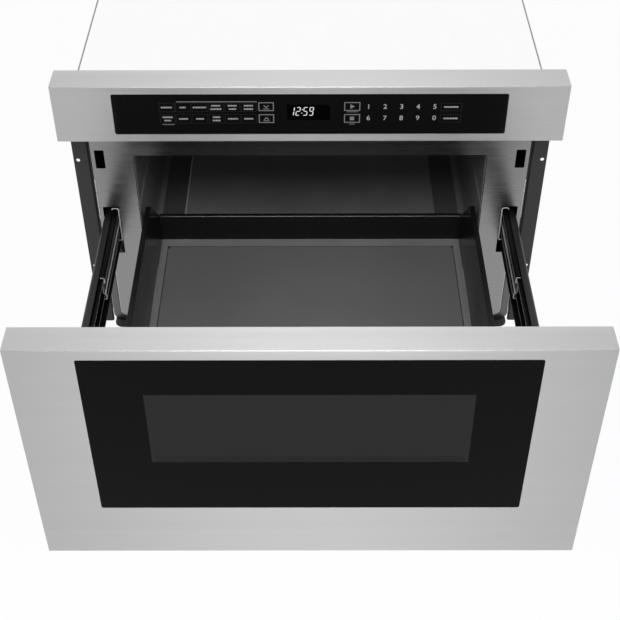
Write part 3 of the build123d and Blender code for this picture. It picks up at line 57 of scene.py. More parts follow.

# %% [markdown]
# ## The camera
#
# A product photographer stands in front of the drawer and looks down into it at about 42
# degrees with a longish lens, so that the lines of the case run together only gently. The
# place could be set by hand, but it was computed instead: the edges of the two fronts were
# measured in the photograph and the position and the three turns that put them there were
# solved. They are written down once, and the camera's three axes follow from them.

# %% Camera
camera_place = Vector((3.30, -1507.07, 1128.34)) * MM
pitch_down, yaw, roll = 0.73271, -0.0033175, -0.0037604
forward = Vector(
    (
        math.sin(yaw) * math.cos(pitch_down),
        math.cos(yaw) * math.cos(pitch_down),
        -math.sin(pitch_down),
    )
)
level_right = Vector((math.cos(yaw), -math.sin(yaw), 0.0))
level_up = level_right.cross(forward)
right = level_right * math.cos(roll) + level_up * math.sin(roll)
up = -level_right * math.sin(roll) + level_up * math.cos(roll)

lens = bpy.data.cameras.new("studio_camera")
lens.sensor_fit = "HORIZONTAL"
lens.sensor_width = 36.0
lens.lens = 68.93
lens.clip_start, lens.clip_end = 0.05, 60.0
camera = bpy.data.objects.new("studio_camera", lens)
turn = Matrix((right, up, -forward)).transposed().to_4x4()
camera.matrix_world = Matrix.Translation(camera_place) @ turn
scene.collection.objects.link(camera)
scene.camera = camera
print("camera at", [round(v, 3) for v in camera_place], "lens", lens.lens, "mm")

# %% [markdown]
# ## Small helpers for materials
#
# A material in Blender is a little network of nodes. Each network could be wired by hand in
# the editor. In a script, a few short helpers make that just as readable. One adds a node, sets
# its values and leads other nodes into it, and one adds a sum of two values. One starts a
# material and hands back its main shader. One starts a node group, which is an effect with named
# sockets that several materials can share, and one places such a group in a material. The last
# puts an object into the scene.

# %% Helpers for node networks
def wire(tree, node, feeds):
    """Leads outputs of other nodes into a node's inputs, which have their name or number."""
    for socket, source in feeds.items():
        tree.links.new(source, node.inputs[socket])


def add_node(tree, kind, place=(0, 0), feeds=None, **values):
    """Adds a node, sets its properties, and fills the inputs that are named or fed."""
    made = tree.nodes.new(kind)
    made.location = place
    for name, value in values.items():
        if hasattr(made, name):
            setattr(made, name, value)
        else:
            made.inputs[name.replace("_", " ")].default_value = value
    wire(tree, made, feeds or {})
    return made


def start_material(name):
    """A new material with its main shader: returns the material, its tree and the shader."""
    material = bpy.data.materials.new(name)
    material.use_nodes = True
    tree = material.node_tree
    shader = tree.nodes["Principled BSDF"]
    return material, tree, shader


def start_group(name, inputs, outputs):
    """A node group with named number inputs and outputs, and its two end nodes."""
    group = bpy.data.node_groups.new(name, "ShaderNodeTree")
    for label, kind, value in inputs:
        socket = group.interface.new_socket(label, in_out="INPUT", socket_type=kind)
        socket.default_value = value
    for label, kind in outputs:
        group.interface.new_socket(label, in_out="OUTPUT", socket_type=kind)
    start = add_node(group, "NodeGroupInput", (-1200, 0))
    end = add_node(group, "NodeGroupOutput", (700, 0))
    return group, start, end


def place_group(tree, group, place=(-700, 0), **values):
    """Puts a node group into a material with its own values."""
    return add_node(tree, "ShaderNodeGroup", place, node_tree=group, **values)


def calc(tree, operation, first, second=None, place=(0, 0)):
    """A sum of one or two values, each a socket or a number: returns where it comes out."""
    made = add_node(tree, "ShaderNodeMath", place, operation=operation)
    for socket, value in zip(made.inputs, (first, second)):
        if isinstance(value, (int, float)):
            socket.default_value = value
        elif value is not None:
            tree.links.new(value, socket)
    return made.outputs[0]


def add_object(name, data):
    """An object made of a mesh, a curve or a lamp, in the scene."""
    made = bpy.data.objects.new(name, data)
    scene.collection.objects.link(made)
    return made


NUMBER, VECTOR = "NodeSocketFloat", "NodeSocketVector"
print("helpers ready")

# %% [markdown]
# ## Brushed steel as a shared effect
#
# The fronts are stainless sheet that a belt has brushed from side to side. Each scratch is far
# finer than a pixel, yet together they give the sheet its faint streaks. An image of scratches
# would be one way. Here noise is stretched instead: it is sampled a few times along the brush
# and many times across it. Two sizes are added, because a real belt leaves single hairlines and
# broader soft bands. The group gives out a streak value and a height for a bump.

# %% Group: brushed lines
brushed_lines, g_in, g_out = start_group(
    "brushed_lines",
    [("Along", VECTOR, (1.0, 1.0, 1.0)), ("Lines", NUMBER, 1400.0), ("Bands", NUMBER, 90.0)],
    [("Streak", NUMBER), ("Height", NUMBER)],
)
g_place = add_node(brushed_lines, "ShaderNodeTexCoord", (-1200, -250))
g_feeds = {0: g_place.outputs["Object"], 1: g_in.outputs["Along"]}
g_squeeze = add_node(
    brushed_lines, "ShaderNodeVectorMath", (-950, 0), g_feeds, operation="MULTIPLY"
)
g_fine = add_node(brushed_lines, "ShaderNodeTexNoise", (-650, 150), Detail=3.0, Roughness=0.6)
g_broad = add_node(brushed_lines, "ShaderNodeTexNoise", (-650, -150), Detail=2.0, Roughness=0.5)
for g_noise, g_size in ((g_fine, "Lines"), (g_broad, "Bands")):
    wire(brushed_lines, g_noise, {"Vector": g_squeeze.outputs[0], "Scale": g_in.outputs[g_size]})
BAND_SHARE = 0.45
g_both = {2: g_fine.outputs["Fac"], 3: g_broad.outputs["Fac"]}
g_mix = add_node(brushed_lines, "ShaderNodeMix", (-350, 0), g_both, data_type="FLOAT")
g_mix.inputs[0].default_value = BAND_SHARE
wire(brushed_lines, g_out, {"Streak": g_mix.outputs[0], "Height": g_fine.outputs["Fac"]})
print("group:", brushed_lines.name)

# %% [markdown]
# ## Fine grain as a shared effect
#
# Enamel, moulded plastic and rubber aren't perfectly smooth. Under a lens they show an orange
# peel or a fine grain, and over a hand's breadth they vary a little in shade. One group gives
# both: a fine value for the bump and a slow one for colour and roughness.

# %% Group: fine grain
fine_grain, g_in, g_out = start_group(
    "fine_grain",
    [("Grain", NUMBER, 900.0), ("Patches", NUMBER, 9.0)],
    [("Fine", NUMBER), ("Slow", NUMBER)],
)
g_place = add_node(fine_grain, "ShaderNodeTexCoord", (-1200, -250))
g_fine = add_node(fine_grain, "ShaderNodeTexNoise", (-650, 150), Detail=2.0, Roughness=0.5)
g_slow = add_node(fine_grain, "ShaderNodeTexNoise", (-650, -150), Detail=4.0, Roughness=0.55)
for g_noise, g_size, g_end in ((g_fine, "Grain", "Fine"), (g_slow, "Patches", "Slow")):
    wire(fine_grain, g_noise, {"Vector": g_place.outputs["Object"], "Scale": g_in.outputs[g_size]})
    wire(fine_grain, g_out, {g_end: g_noise.outputs["Fac"]})
print("group:", fine_grain.name)

# %% [markdown]
# ## Zinc crystals as a shared effect
#
# Zinc freezes on hot-dipped sheet in flat crystals the size of a fingernail, each turned its own
# way and so a little lighter or darker than the next. Cells with one random shade each give that
# picture, and a fine noise breaks up the shine inside a crystal.

# %% Group: zinc crystals
zinc_crystals, g_in, g_out = start_group(
    "zinc_crystals", [("Crystals", NUMBER, 90.0)], [("Crystal", NUMBER), ("Grain", NUMBER)]
)
g_place = add_node(zinc_crystals, "ShaderNodeTexCoord", (-1200, -250)).outputs["Object"]
g_feeds = {"Vector": g_place, "Scale": g_in.outputs["Crystals"]}
g_cells = add_node(zinc_crystals, "ShaderNodeTexVoronoi", (-650, 150), g_feeds, Randomness=1.0)
g_fine = add_node(zinc_crystals, "ShaderNodeTexNoise", (-650, -150), Scale=1200.0, Detail=2.0)
wire(zinc_crystals, g_fine, {"Vector": g_place})
g_red = add_node(zinc_crystals, "ShaderNodeSeparateColor", (-350, 150), {0: g_cells.outputs["Color"]})
wire(zinc_crystals, g_out, {"Crystal": g_red.outputs["Red"], "Grain": g_fine.outputs["Fac"]})
print("group:", zinc_crystals.name)

# %% [markdown]
# ## A screen of dots as a shared effect
#
# The steel screen behind the window is punched with thousands of round holes, and the floor
# plate carries a printed pattern as fine. Real holes would need hundreds of thousands of
# faces. A repeating mask does it without any: the plane is cut into small cells, and the
# distance from each cell's centre tells dot from web. The two axes are picked by a vector that
# each material gives, so one group serves upright and level sheets.

# %% Group: dot screen
dot_screen, g_in, g_out = start_group(
    "dot_screen",
    [
        ("Across", VECTOR, (1.0, 0.0, 0.0)),
        ("Up", VECTOR, (0.0, 0.0, 1.0)),
        ("Pitch", NUMBER, 0.003),
        ("Dot", NUMBER, 0.32),
    ],
    [("Dots", NUMBER)],
)
g_place = add_node(dot_screen, "ShaderNodeTexCoord", (-1200, -250))
g_parts = []
for g_row, g_axis in enumerate(("Across", "Up")):
    g_y = -200 * g_row
    g_dot = add_node(dot_screen, "ShaderNodeVectorMath", (-950, g_y), operation="DOT_PRODUCT")
    wire(dot_screen, g_dot, {0: g_place.outputs["Object"], 1: g_in.outputs[g_axis]})
    g_pitch = g_in.outputs["Pitch"]
    g_parts.append(calc(dot_screen, "DIVIDE", g_dot.outputs["Value"], g_pitch, (-750, g_y)))
g_row_number = calc(dot_screen, "FLOOR", g_parts[1], place=(-550, -350))
g_half = calc(dot_screen, "MULTIPLY", g_row_number, 0.5, (-400, -350))
g_shift = calc(dot_screen, "ADD", g_parts[0], g_half, (-400, 0))
g_centre = add_node(dot_screen, "ShaderNodeCombineXYZ", (50, 0))
for g_index, g_value in enumerate((g_shift, g_parts[1])):
    g_y = -200 * g_index
    g_fraction = calc(dot_screen, "FRACT", g_value, place=(-250, g_y))
    g_middle = calc(dot_screen, "SUBTRACT", g_fraction, 0.5, (-100, g_y))
    wire(dot_screen, g_centre, {g_index: g_middle})
g_feeds = {0: g_centre.outputs[0]}
g_length = add_node(dot_screen, "ShaderNodeVectorMath", (200, 0), g_feeds, operation="LENGTH")
g_edge = calc(dot_screen, "LESS_THAN", g_length.outputs["Value"], g_in.outputs["Dot"], (400, 0))
wire(dot_screen, g_out, {"Dots": g_edge})
print("group:", dot_screen.name)

# %% [markdown]
# ## One recipe for the plain finishes
#
# Most of the pieces are bare metal with brush lines, sheet with zinc crystals, or a coated or
# moulded surface with grain. The steps are the same each time, so one function takes them: it
# starts the material, places a shared group and wires it to colour and roughness. Each recipe
# calls it with its own group and values. Values that are the same all over a surface, such as
# the metallic one, go straight on the shader.

# %% Recipes: brushed metal, grained coat and dipped zinc
NOISE_LOW, NOISE_HIGH = 0.3, 0.7
COAT_SPREAD = 0.12
ALONG_X, ALONG_Y, ALONG_Z = (0.012, 1.0, 1.0), (1.0, 0.012, 1.0), (1.0, 1.0, 0.02)
finishes = {}


def between(tree, value, low, high, place, start=NOISE_LOW, end=NOISE_HIGH, **settings):
    """Turns a value that runs from start to end into one that runs from low to high."""
    ends = {"From_Min": start, "From_Max": end, "To_Min": low, "To_Max": high}
    made = add_node(tree, "ShaderNodeMapRange", place, {"Value": value}, **ends, **settings)
    return made.outputs["Result"]


def shade(tree, value, dark, light, place=(-250, 200)):
    """Turns a 0 to 1 value into a colour between dark and light."""
    made = add_node(tree, "ShaderNodeMix", place, {0: value}, data_type="RGBA")
    made.inputs[6].default_value = (*dark, 1.0)
    made.inputs[7].default_value = (*light, 1.0)
    return made.outputs[2]


def bump(tree, shader, value, strength, distance):
    """Feeds a value as height into the shader's normal."""
    made = add_node(tree, "ShaderNodeBump", (-250, -250), {"Height": value})
    made.inputs["Strength"].default_value = strength
    made.inputs["Distance"].default_value = distance
    wire(tree, shader, {"Normal": made.outputs["Normal"]})


def grey(level):
    """A neutral colour."""
    return (level, level, level)


def greys(level, spread):
    """A darker and a lighter grey round one level."""
    return grey(level * (1 - spread)), grey(level * (1 + spread))


def dress(name, effect, output, shades, rough, swing, **values):
    """Starts a finish whose colour and roughness follow one output of a shared effect."""
    finishes[name], tree, shader = start_material(name)
    source = place_group(tree, effect, **values)
    tone = between(tree, source.outputs[output], 0.0, 1.0, (-450, 200))
    wire(tree, shader, {"Base Color": shade(tree, tone, *shades)})
    if swing:
        rough = between(tree, source.outputs[output], rough - swing, rough + swing, (-450, -50))
        wire(tree, shader, {"Roughness": rough})
    else:
        shader.inputs["Roughness"].default_value = rough
    return tree, shader, source


def brushed_metal(name, level, rough, spread=0.05, along=ALONG_X, lines=1400.0, lift=0.08, pull=0.0):
    """Bare metal with brush lines; a pull draws its reflections out across them."""
    tree, shader, brush = dress(
        name, brushed_lines, "Streak", greys(level, spread), rough, 0.05, Along=along, Lines=lines
    )
    shader.inputs["Metallic"].default_value = 1.0
    if pull:
        axis = add_node(tree, "ShaderNodeTangent", (-450, -450), direction_type="RADIAL", axis="X")
        wire(tree, shader, {"Tangent": axis.outputs["Tangent"]})
        shader.inputs["Anisotropic"].default_value = pull
    bump(tree, shader, brush.outputs["Height"], lift, 0.0002)


def grained_coat(name, colour, rough, grain=900.0, metallic=0.0, ior=1.45, lift=0.1):
    """A coat, an enamel or a moulding: fine grain, and slow patches of shade and shine."""
    shades = [tuple(c * (1 + sign * COAT_SPREAD) for c in colour) for sign in (-1, 1)]
    tree, shader, skin = dress(name, fine_grain, "Slow", shades, rough, 0.04, Grain=grain)
    shader.inputs["Metallic"].default_value = metallic
    shader.inputs["IOR"].default_value = ior
    bump(tree, shader, skin.outputs["Fine"], lift, 0.0003)


def dipped_zinc(name, level, rough, crystals):
    """Sheet dipped in zinc, with its crystals."""
    tree, shader, coat = dress(
        name, zinc_crystals, "Crystal", greys(level, 0.07), rough, 0.08, Crystals=crystals
    )
    shader.inputs["Metallic"].default_value = 1.0
    bump(tree, shader, coat.outputs["Grain"], 0.05, 0.0002)


print("recipes ready")

# %% [markdown]
# ## Finishes of steel
#
# The two fronts are brushed stainless sheet, and the frame round the mouth is plainer satin
# sheet. The lid is bright rolled sheet, the case under it is hot-dipped and shows its zinc
# crystals, and the cages carry polished balls. All but the case are the same recipe with other
# values: how bright the metal is, how blurred its reflections are, and which way its lines
# run. On the fronts the scratches pull every reflection out at right angles to themselves, so
# a lamp in front turns into a soft upright band. The anisotropic value does that, and the
# tangent node tells it the direction.

# %% Steels
brushed_metal("fascia_steel", 0.57, 0.50, pull=0.85)
brushed_metal("frame_steel", 0.265, 0.26, spread=0.025, lines=900.0, lift=0.03)
brushed_metal("zinc_steel", 0.97, 0.24, spread=0.01, along=(0.3, 0.3, 0.3), lines=300.0, lift=0.02)
dipped_zinc("case_zinc", 0.42, 0.42, crystals=130.0)
brushed_metal("slide_steel", 0.50, 0.28, along=ALONG_Y)
brushed_metal("ball_steel", 0.68, 0.16, spread=0.03, along=ALONG_Y)
brushed_metal("aluminium_can", 0.70, 0.30, spread=0.03, along=ALONG_Z, lines=700.0)
print("steels:", sorted(finishes))

# %% [markdown]
# ## Coats, enamels, plastics and the rest
#
# The flanges wear a dark grey coat that is painted shade. The cavity and the pan are fired enamel,
# and the cavity's side walls wear a lighter copy of it that is painted light. The slides are
# phosphated and oiled. The recipe of the grained coat serves them all. The values that matter
# most are the base shade and the roughness: enamel is smooth enough to show soft reflections,
# and a moulded plastic breaks them up.

# %% Coats and mouldings
# The flanges' dark coat is painted shade.
grained_coat("flange_steel", grey(0.031), 0.45, grain=1200.0)
grained_coat("cavity_enamel", grey(0.115), 0.32, grain=500.0)
# The side walls wear a lighter copy of the cavity's enamel, which is painted light.
grained_coat("wall_enamel_lit", grey(0.26), 0.30, grain=500.0)
grained_coat("pan_enamel", grey(0.008), 0.25, grain=500.0, lift=0.05, ior=1.3)
grained_coat("cover_ceramic", grey(0.27), 0.30, grain=1500.0)
grained_coat("slide_black", grey(0.005), 0.28, grain=1500.0, lift=0.04, ior=1.22)
grained_coat("beam_black", grey(0.009), 0.42)
grained_coat("black_plastic", grey(0.010), 0.45, grain=1800.0, lift=0.2)
grained_coat("acetal", (0.72, 0.70, 0.64), 0.35, grain=400.0)
grained_coat("board_green", (0.02, 0.14, 0.05), 0.30, grain=300.0)
grained_coat("copper_wire", (0.52, 0.20, 0.08), 0.30, grain=1500.0, metallic=1.0)
grained_coat("core_iron", grey(0.12), 0.50, grain=1500.0, metallic=0.6)
grained_coat("rubber_black", grey(0.015), 0.62)
grained_coat("lamp_glass", (0.80, 0.76, 0.66), 0.22, grain=200.0)
print("coats added, finishes now:", len(finishes))

# %% [markdown]
# ## Black glass, the window and its screen
#
# Both black panes are glass painted black from behind. A dark base under a weak, very sharp
# reflection gives that depth. The lower pane has a smoked field, the window, through which the
# punched screen shows faintly. Real transparency is kept cheap by letting the pane's alpha fall
# in that field only: the field is found from the place on the pane, by comparing with its edges.

# %% Glass with a window field
WINDOW_X = 169.0 * MM
WINDOW_Z = (157.5 * MM, 260.5 * MM)
# The field's grey is partly the smoked glass's own tone and partly painted light that stands in for the
# lit screen behind it.
WINDOW_COVER, WINDOW_LIT_GREY = 0.85, 0.035
GLASS_ROUGH = (0.05, 0.10)


def inside(tree, low, high, axis, place):
    """A mask that is 1 where the place along one axis lies between low and high."""
    x, y = place
    where = add_node(tree, "ShaderNodeTexCoord", (x - 600, y))
    split = add_node(tree, "ShaderNodeSeparateXYZ", (x - 450, y), {0: where.outputs["Object"]})
    above = calc(tree, "GREATER_THAN", split.outputs[axis], low, (x - 300, y))
    below = calc(tree, "LESS_THAN", split.outputs[axis], high, (x - 300, y - 150))
    return calc(tree, "MULTIPLY", above, below, (x - 150, y))


def black_glass(name, level, ior, field=None):
    """Painted glass; in a field, half its width and its two heights, it is smoked glass whose grey is
    partly painted light.
    """
    finishes[name], tree, shader = start_material(name)
    skin = place_group(tree, fine_grain, Grain=60.0, Patches=14.0)
    roughness = between(tree, skin.outputs["Slow"], *GLASS_ROUGH, (-450, -50))
    shader.inputs["IOR"].default_value = ior
    if field:
        wide = inside(tree, -field[0], field[0], "X", (-500, -400))
        high = inside(tree, *field[1], "Z", (-500, -800))
        both = calc(tree, "MULTIPLY", wide, high, (-300, -500))
        clear = between(tree, both, 1.0, WINDOW_COVER, (-150, -500), 0.0, 1.0)
        wire(tree, shader, {"Alpha": clear})
        # In the field the grey is painted light in part: it stands in for the lit screen behind the
        # glass.
        colour = shade(tree, both, grey(level), grey(WINDOW_LIT_GREY), (-100, 350))
    else:
        colour = shade(tree, skin.outputs["Slow"], *greys(level, 0.2))
    wire(tree, shader, {"Base Color": colour, "Roughness": roughness})


black_glass("black_glass", 0.0090, 1.16)
black_glass("window_glass", 0.0035, 1.135, (WINDOW_X, WINDOW_Z))

finishes["screen_metal"], tree, shader = start_material("screen_metal")
holes = place_group(tree, dot_screen, Pitch=0.0030, Dot=0.30)
wire(tree, shader, {"Base Color": shade(tree, holes.outputs["Dots"], grey(0.105), grey(0.070))})
shader.inputs["Roughness"].default_value = 0.45
bump(tree, shader, holes.outputs["Dots"], -0.3, 0.0004)
print("glass and screen ready")

# %% [markdown]
# ## The floor plate
#
# The pan's floor is a plate of dark ceramic with a very fine printed screen, matt enough to
# take the light from above as an even grey. It is the same dot group, laid level and finer.

# %% Ceramic plate
finishes["ceramic"], tree, shader = start_material("ceramic")
print_dots = place_group(tree, dot_screen, Across=(1, 0, 0), Up=(0, 1, 0), Pitch=0.0026, Dot=0.30)
skin = place_group(tree, fine_grain, (-700, -400), Grain=700.0, Patches=6.0)
feeds = {0: print_dots.outputs["Dots"], 2: skin.outputs["Slow"]}
mixed = add_node(tree, "ShaderNodeMath", (-450, 100), feeds, operation="MULTIPLY_ADD")
mixed.inputs[1].default_value = 0.5
colour = shade(tree, mixed.outputs[0], grey(0.16), grey(0.21))
roughness = between(tree, skin.outputs["Slow"], 0.34, 0.42, (-450, -50))
wire(tree, shader, {"Base Color": colour, "Roughness": roughness})
bump(tree, shader, skin.outputs["Fine"], 0.08, 0.0002)
print("finishes:", len(finishes))

# %% [markdown]
# ## Prints, the clock's light, seals and thin steel
#
# The print on glass is a thin, slightly matt ink, and the clock's bars give off a little light
# of their own. The ledge round the floor plate gets the pan's enamel in a lighter, duller shade,
# which is painted light on its level top.
# The cut edges of the slides are bare strip, bright and hardly mirroring, so they are made as a
# coat. The lip at the frame's foot is a steel of its own shade. The frame's crest and the pan's
# rear rim get lighter steels that are painted highlights, the frame's lower border a darker steel
# that is painted shade, and the seals are a darker rubber and a light one that paints highlights.

# %% Inks, light, seals and thin steel
def ink(name, level, rough=0.5, **values):
    """A thin print; values such as its IOR go straight on the shader."""
    shader = dress(
        name, fine_grain, "Slow", greys(level, 0.06), rough, 0.0, Grain=2500.0, Patches=120.0
    )[1]
    for label, value in values.items():
        shader.inputs[label.replace("_", " ")].default_value = value


ink("white_print", 0.62)
ink("grey_print", 0.34)
ink("dim_print", 0.012)
# The band's grey is print and painted light together: it matches the screen seen through the window.
ink("band_print_lit", 0.031, IOR=1.16)
# This dark ink prints the window's dots and also paints the shadow in the frame's crease.
ink("dark_print_and_shadow", 0.004, IOR=1.16)
ink("clock_glass", 0.002, 0.12, IOR=1.12)
ink("clock_light", 0.55, Emission_Color=(1.0, 1.0, 1.0, 1.0), Emission_Strength=0.45)
grained_coat("cut_steel", grey(0.85), 0.38, grain=1200.0)
# A lighter copy of the pan's enamel, which is painted light on the ledge's level top.
grained_coat("ledge_enamel_lit", grey(0.28), 0.35, grain=700.0, lift=0.05)
grained_coat("seal_grey", grey(0.12), 0.50)
# A light material for painted highlights on a seal and on the frame's edges.
grained_coat("painted_highlight", grey(0.85), 0.45)
grained_coat("lip_steel", grey(0.055), 0.42)
# A lighter steel for the rod on the frame's crest, which is a painted highlight.
brushed_metal("crest_highlight_steel", 0.42, 0.30, along=ALONG_Z)
# A darker copy of the frame's steel, which is painted shade on its lower border.
brushed_metal("border_shade_steel", 0.125, 0.30, spread=0.02)
# A lighter steel for the rod on the pan's rear rim, which is a painted highlight.
brushed_metal("rim_highlight_steel", 0.26, 0.35)
print("finishes:", len(finishes))

# %% [markdown]
# ## Give every node its finish
#
# The list below says which finish each node wears, and a node that it forgets is printed. The
# frame's own material slots are emptied and the new finish is put in their place, which changes
# no vertex.

# %% Assign finishes
wearing = {
    "zinc_steel": "top_cover stirrer_motor",
    "case_zinc": "base_plate back_panel side_panel_left side_panel_right waveguide fan_bracket "
    "slide_brackets drive_motor switch_brackets latch_hook_left latch_hook_right",
    "frame_steel": "front_frame",
    "rubber_black": "cord_bushing",
    "cavity_enamel": "cavity_floor cavity_ceiling rear_bulkhead",
    "wall_enamel_lit": "cavity_wall_left cavity_wall_right",
    "cover_ceramic": "stirrer_cover",
    "aluminium_can": "stirrer magnetron capacitor",
    "core_iron": "transformer_core fan_motor",
    "copper_wire": "transformer_coils",
    "black_plastic": "fan_rotor control_frame gearbox door_switches door_core choke_cover",
    "lamp_glass": "oven_lamp",
    "board_green": "power_board control_board",
    "fascia_steel": "control_housing drawer_front",
    "black_glass": "control_glass",
    "window_glass": "door_glass",
    "beam_black": "drawer_beam_left drawer_beam_right",
    "slide_black": "slide_cabinet_left slide_cabinet_right "
    "slide_middle_left slide_middle_right slide_drawer_left slide_drawer_right",
    "slide_steel": "case_screws drawer_screws",
    "screen_metal": "window_screen",
    "pan_enamel": "door_panel pan",
    "ceramic": "floor_plate",
    "acetal": "drive_rack drive_pinion",
    "ball_steel": "ball_cage_outer_left ball_cage_outer_right ball_cage_inner_left ball_cage_inner_right",
}
dressed = set()
for finish, names in wearing.items():
    for name in names.split():
        mesh = nodes[name].data
        mesh.materials.clear()
        mesh.materials.append(finishes[finish])
        for face in mesh.polygons:
            face.material_index = 0
        dressed.add(name)
print("dressed:", len(dressed), "left:", sorted(set(nodes) - dressed))

# %% [markdown]
# ## Edges that catch the light
#
# No real edge is perfectly sharp. A folded or ground edge has a small radius, and its thin
# bright line is what makes metal look like metal. The faces of the frame arrive unjoined, so
# they are welded first. Then a bevel of a few tenths of a millimetre is put on the sharp
# edges, and the normals are weighted so that the big faces stay flat. These are modifiers: the
# vertices of the frame themselves aren't changed.

# %% Soft edges
SOFT_SEGMENTS, SOFT_ANGLE, SAME_PLACE = 2, 35.0, 0.00001


def add_modifier(piece, name, kind, **values):
    """Adds a modifier to a piece and sets its values."""
    made = piece.modifiers.new(name, kind)
    for key, value in values.items():
        setattr(made, key, value)


def soften(piece, width):
    """Welds the faces of a node and rounds its sharp edges by a hair."""
    add_modifier(piece, "weld", "WELD", merge_threshold=SAME_PLACE)
    add_modifier(
        piece, "soft_edges", "BEVEL", width=width, segments=SOFT_SEGMENTS, limit_method="ANGLE",
        angle_limit=math.radians(SOFT_ANGLE), harden_normals=False,
    )
    add_modifier(piece, "flat_faces", "WEIGHTED_NORMAL", keep_sharp=True)


soft_edges = {"control_glass": 0.2, "door_glass": 0.2, "front_frame": 0.3, "floor_plate": 0.3}
for name, width in soft_edges.items():
    soften(nodes[name], width * MM)
print("softened:", sorted(soft_edges))

# %% [markdown]
# ## Second finishes on chosen faces
#
# Some nodes carry two finishes on one body. The slide members are black all over except where
# the strip was cut, and there the bare steel shines as a hair-thin line. The side panels get a
# dark coat on their flanges that is painted shade, where the rest shows its zinc. The frame's
# lower border lies a little further back than its face, and a darker steel on it is painted
# shade. A second material slot does this without touching a vertex: the faces are chosen by
# where they lie and which way they look.

# %% Choose faces and give them a second finish
PLANE_STEPS, SPOT_STEPS = 5000, 50000


def patches(mesh):
    """Groups of touching faces that share one plane, told apart in so many steps to a metre."""
    key_of = {}
    corners = {}
    for face in mesh.polygons:
        n = face.normal
        plane = (round(n.x, 2), round(n.y, 2), round(n.z, 2), round(n.dot(face.center) * PLANE_STEPS))
        for corner in face.vertices:
            place = (plane, *(round(c * SPOT_STEPS) for c in mesh.vertices[corner].co))
            corners.setdefault(place, []).append(face.index)
        key_of[face.index] = face.index

    def root(i):
        while key_of[i] != i:
            key_of[i] = key_of[key_of[i]]
            i = key_of[i]
        return i

    for touching in corners.values():
        for other in touching[1:]:
            key_of[root(other)] = root(touching[0])
    groups = {}
    for face in mesh.polygons:
        groups.setdefault(root(face.index), []).append(face.index)
    return groups.values()


STRIP, LONG = 1.5 * MM, 20.0 * MM
END_ON, FACING = 0.98, 0.9


def is_cut_edge(mesh, group):
    """True for a long face about as wide as the strip is thick, or a cut end."""
    if abs(mesh.polygons[group[0]].normal.y) > END_ON:
        return True
    spots = [mesh.vertices[v].co for f in group for v in mesh.polygons[f].vertices]
    spans = sorted(max(c[i] for c in spots) - min(c[i] for c in spots) for i in range(3))
    return 0.85 * STRIP < spans[1] < 1.1 * STRIP and spans[2] > LONG


def second_finish(name, finish, wanted):
    """Gives the faces whose numbers are wanted a second material slot."""
    mesh = nodes[name].data
    mesh.materials.append(finishes[finish])
    for index in wanted:
        mesh.polygons[index].material_index = len(mesh.materials) - 1
    return len(wanted)


for kind in ("slide_cabinet", "slide_middle", "slide_drawer"):
    for side in ("left", "right"):
        name = f"{kind}_{side}"
        mesh = nodes[name].data
        bare = [f for group in patches(mesh) if is_cut_edge(mesh, group) for f in group]
        print(name, "bright faces:", second_finish(name, "cut_steel", bare))

# The flanges get a dark coat that is painted shade.
FLANGE_Y = -274.0 * MM
for side in ("left", "right"):
    name = f"side_panel_{side}"
    flange_shade = [f.index for f in nodes[name].data.polygons if f.center.y < FLANGE_Y]
    print(name, "coated faces:", second_finish(name, "flange_steel", flange_shade))

# The frame's lower border gets a darker steel, which is painted shade.
BORDER_Y, BORDER_Z = -275.5 * MM, 117.0 * MM
border = [
    f.index
    for f in nodes["front_frame"].data.polygons
    if f.normal.y < -FACING and f.center.y > BORDER_Y and f.center.z < BORDER_Z
]
print("frame border faces:", second_finish("front_frame", "border_shade_steel", border))

# %% [markdown]
# ## The pan
#
# A deep-drawn pan is one sheet of enamelled steel: rimmed sides that slope down to a lower rear
# wall, a level ledge all round and a sunk floor for the plate. It could be carved from a block,
# but a sheet is a surface with a thickness, so only the inner surface is drawn here, as a few
# large faces. Solidify gives it the sheet's thickness on the far side and a bevel rounds the
# folds. Its outer sizes are read from the frame's pan and floor plate, and it stands in for the
# frame's plainer pan.

# %% Draw the pan's surface
def millimetres(node):
    """The low and high corners of a node's box, in millimetres."""
    low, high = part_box(node)
    return low / MM, high / MM


plate_low, plate_high = millimetres("floor_plate")
pan_low, pan_high = millimetres("pan")
SHEET = 1.0
RIM = 6.6
LIP = 7.0
REAR_RIM = 4.5
REAR_TOP = 147.4
REAR_LIP = 6
PLATE_GAP = 0.8
FOLD, FOLD_ANGLE = 0.45, 30
wall_x = pan_high.x - RIM
rear_y = pan_high.y - REAR_RIM
front_y = pan_low.y
top_z = pan_high.z
ledge_z = plate_high.z
sunk_z = plate_low.z
ledge_x = plate_high.x + PLATE_GAP
ledge_front, ledge_rear = plate_low.y - PLATE_GAP, plate_high.y + PLATE_GAP
slope_y = rear_y - (top_z - REAR_TOP)

spots, walls, ledge_faces = {}, [], []


def spot(x, y, z):
    """The number of the vertex at a place in millimetres: the same place, the same number."""
    return spots.setdefault((round(x, 3), round(y, 3), round(z, 3)), len(spots))


def panel(*corners, ledge=False):
    """One face through its corners, in order, kept with the walls or with the ledge."""
    (ledge_faces if ledge else walls).append([spot(*corner) for corner in corners])


def along(y0, y1, one, other, ledge=False):
    """A face from y0 to y1 between two lines, each given by x, its z at y0 and its z at y1."""
    (xa, a0, a1), (xb, b0, b1) = one, other
    panel((xa, y0, a0), (xa, y1, a1), (xb, y1, b1), (xb, y0, b0), ledge=ledge)


def across(half, low, high, ledge=False):
    """A face as wide as twice half, between two lines that are each given by y and z."""
    panel((-half, *low), (half, *low), (half, *high), (-half, *high), ledge=ledge)


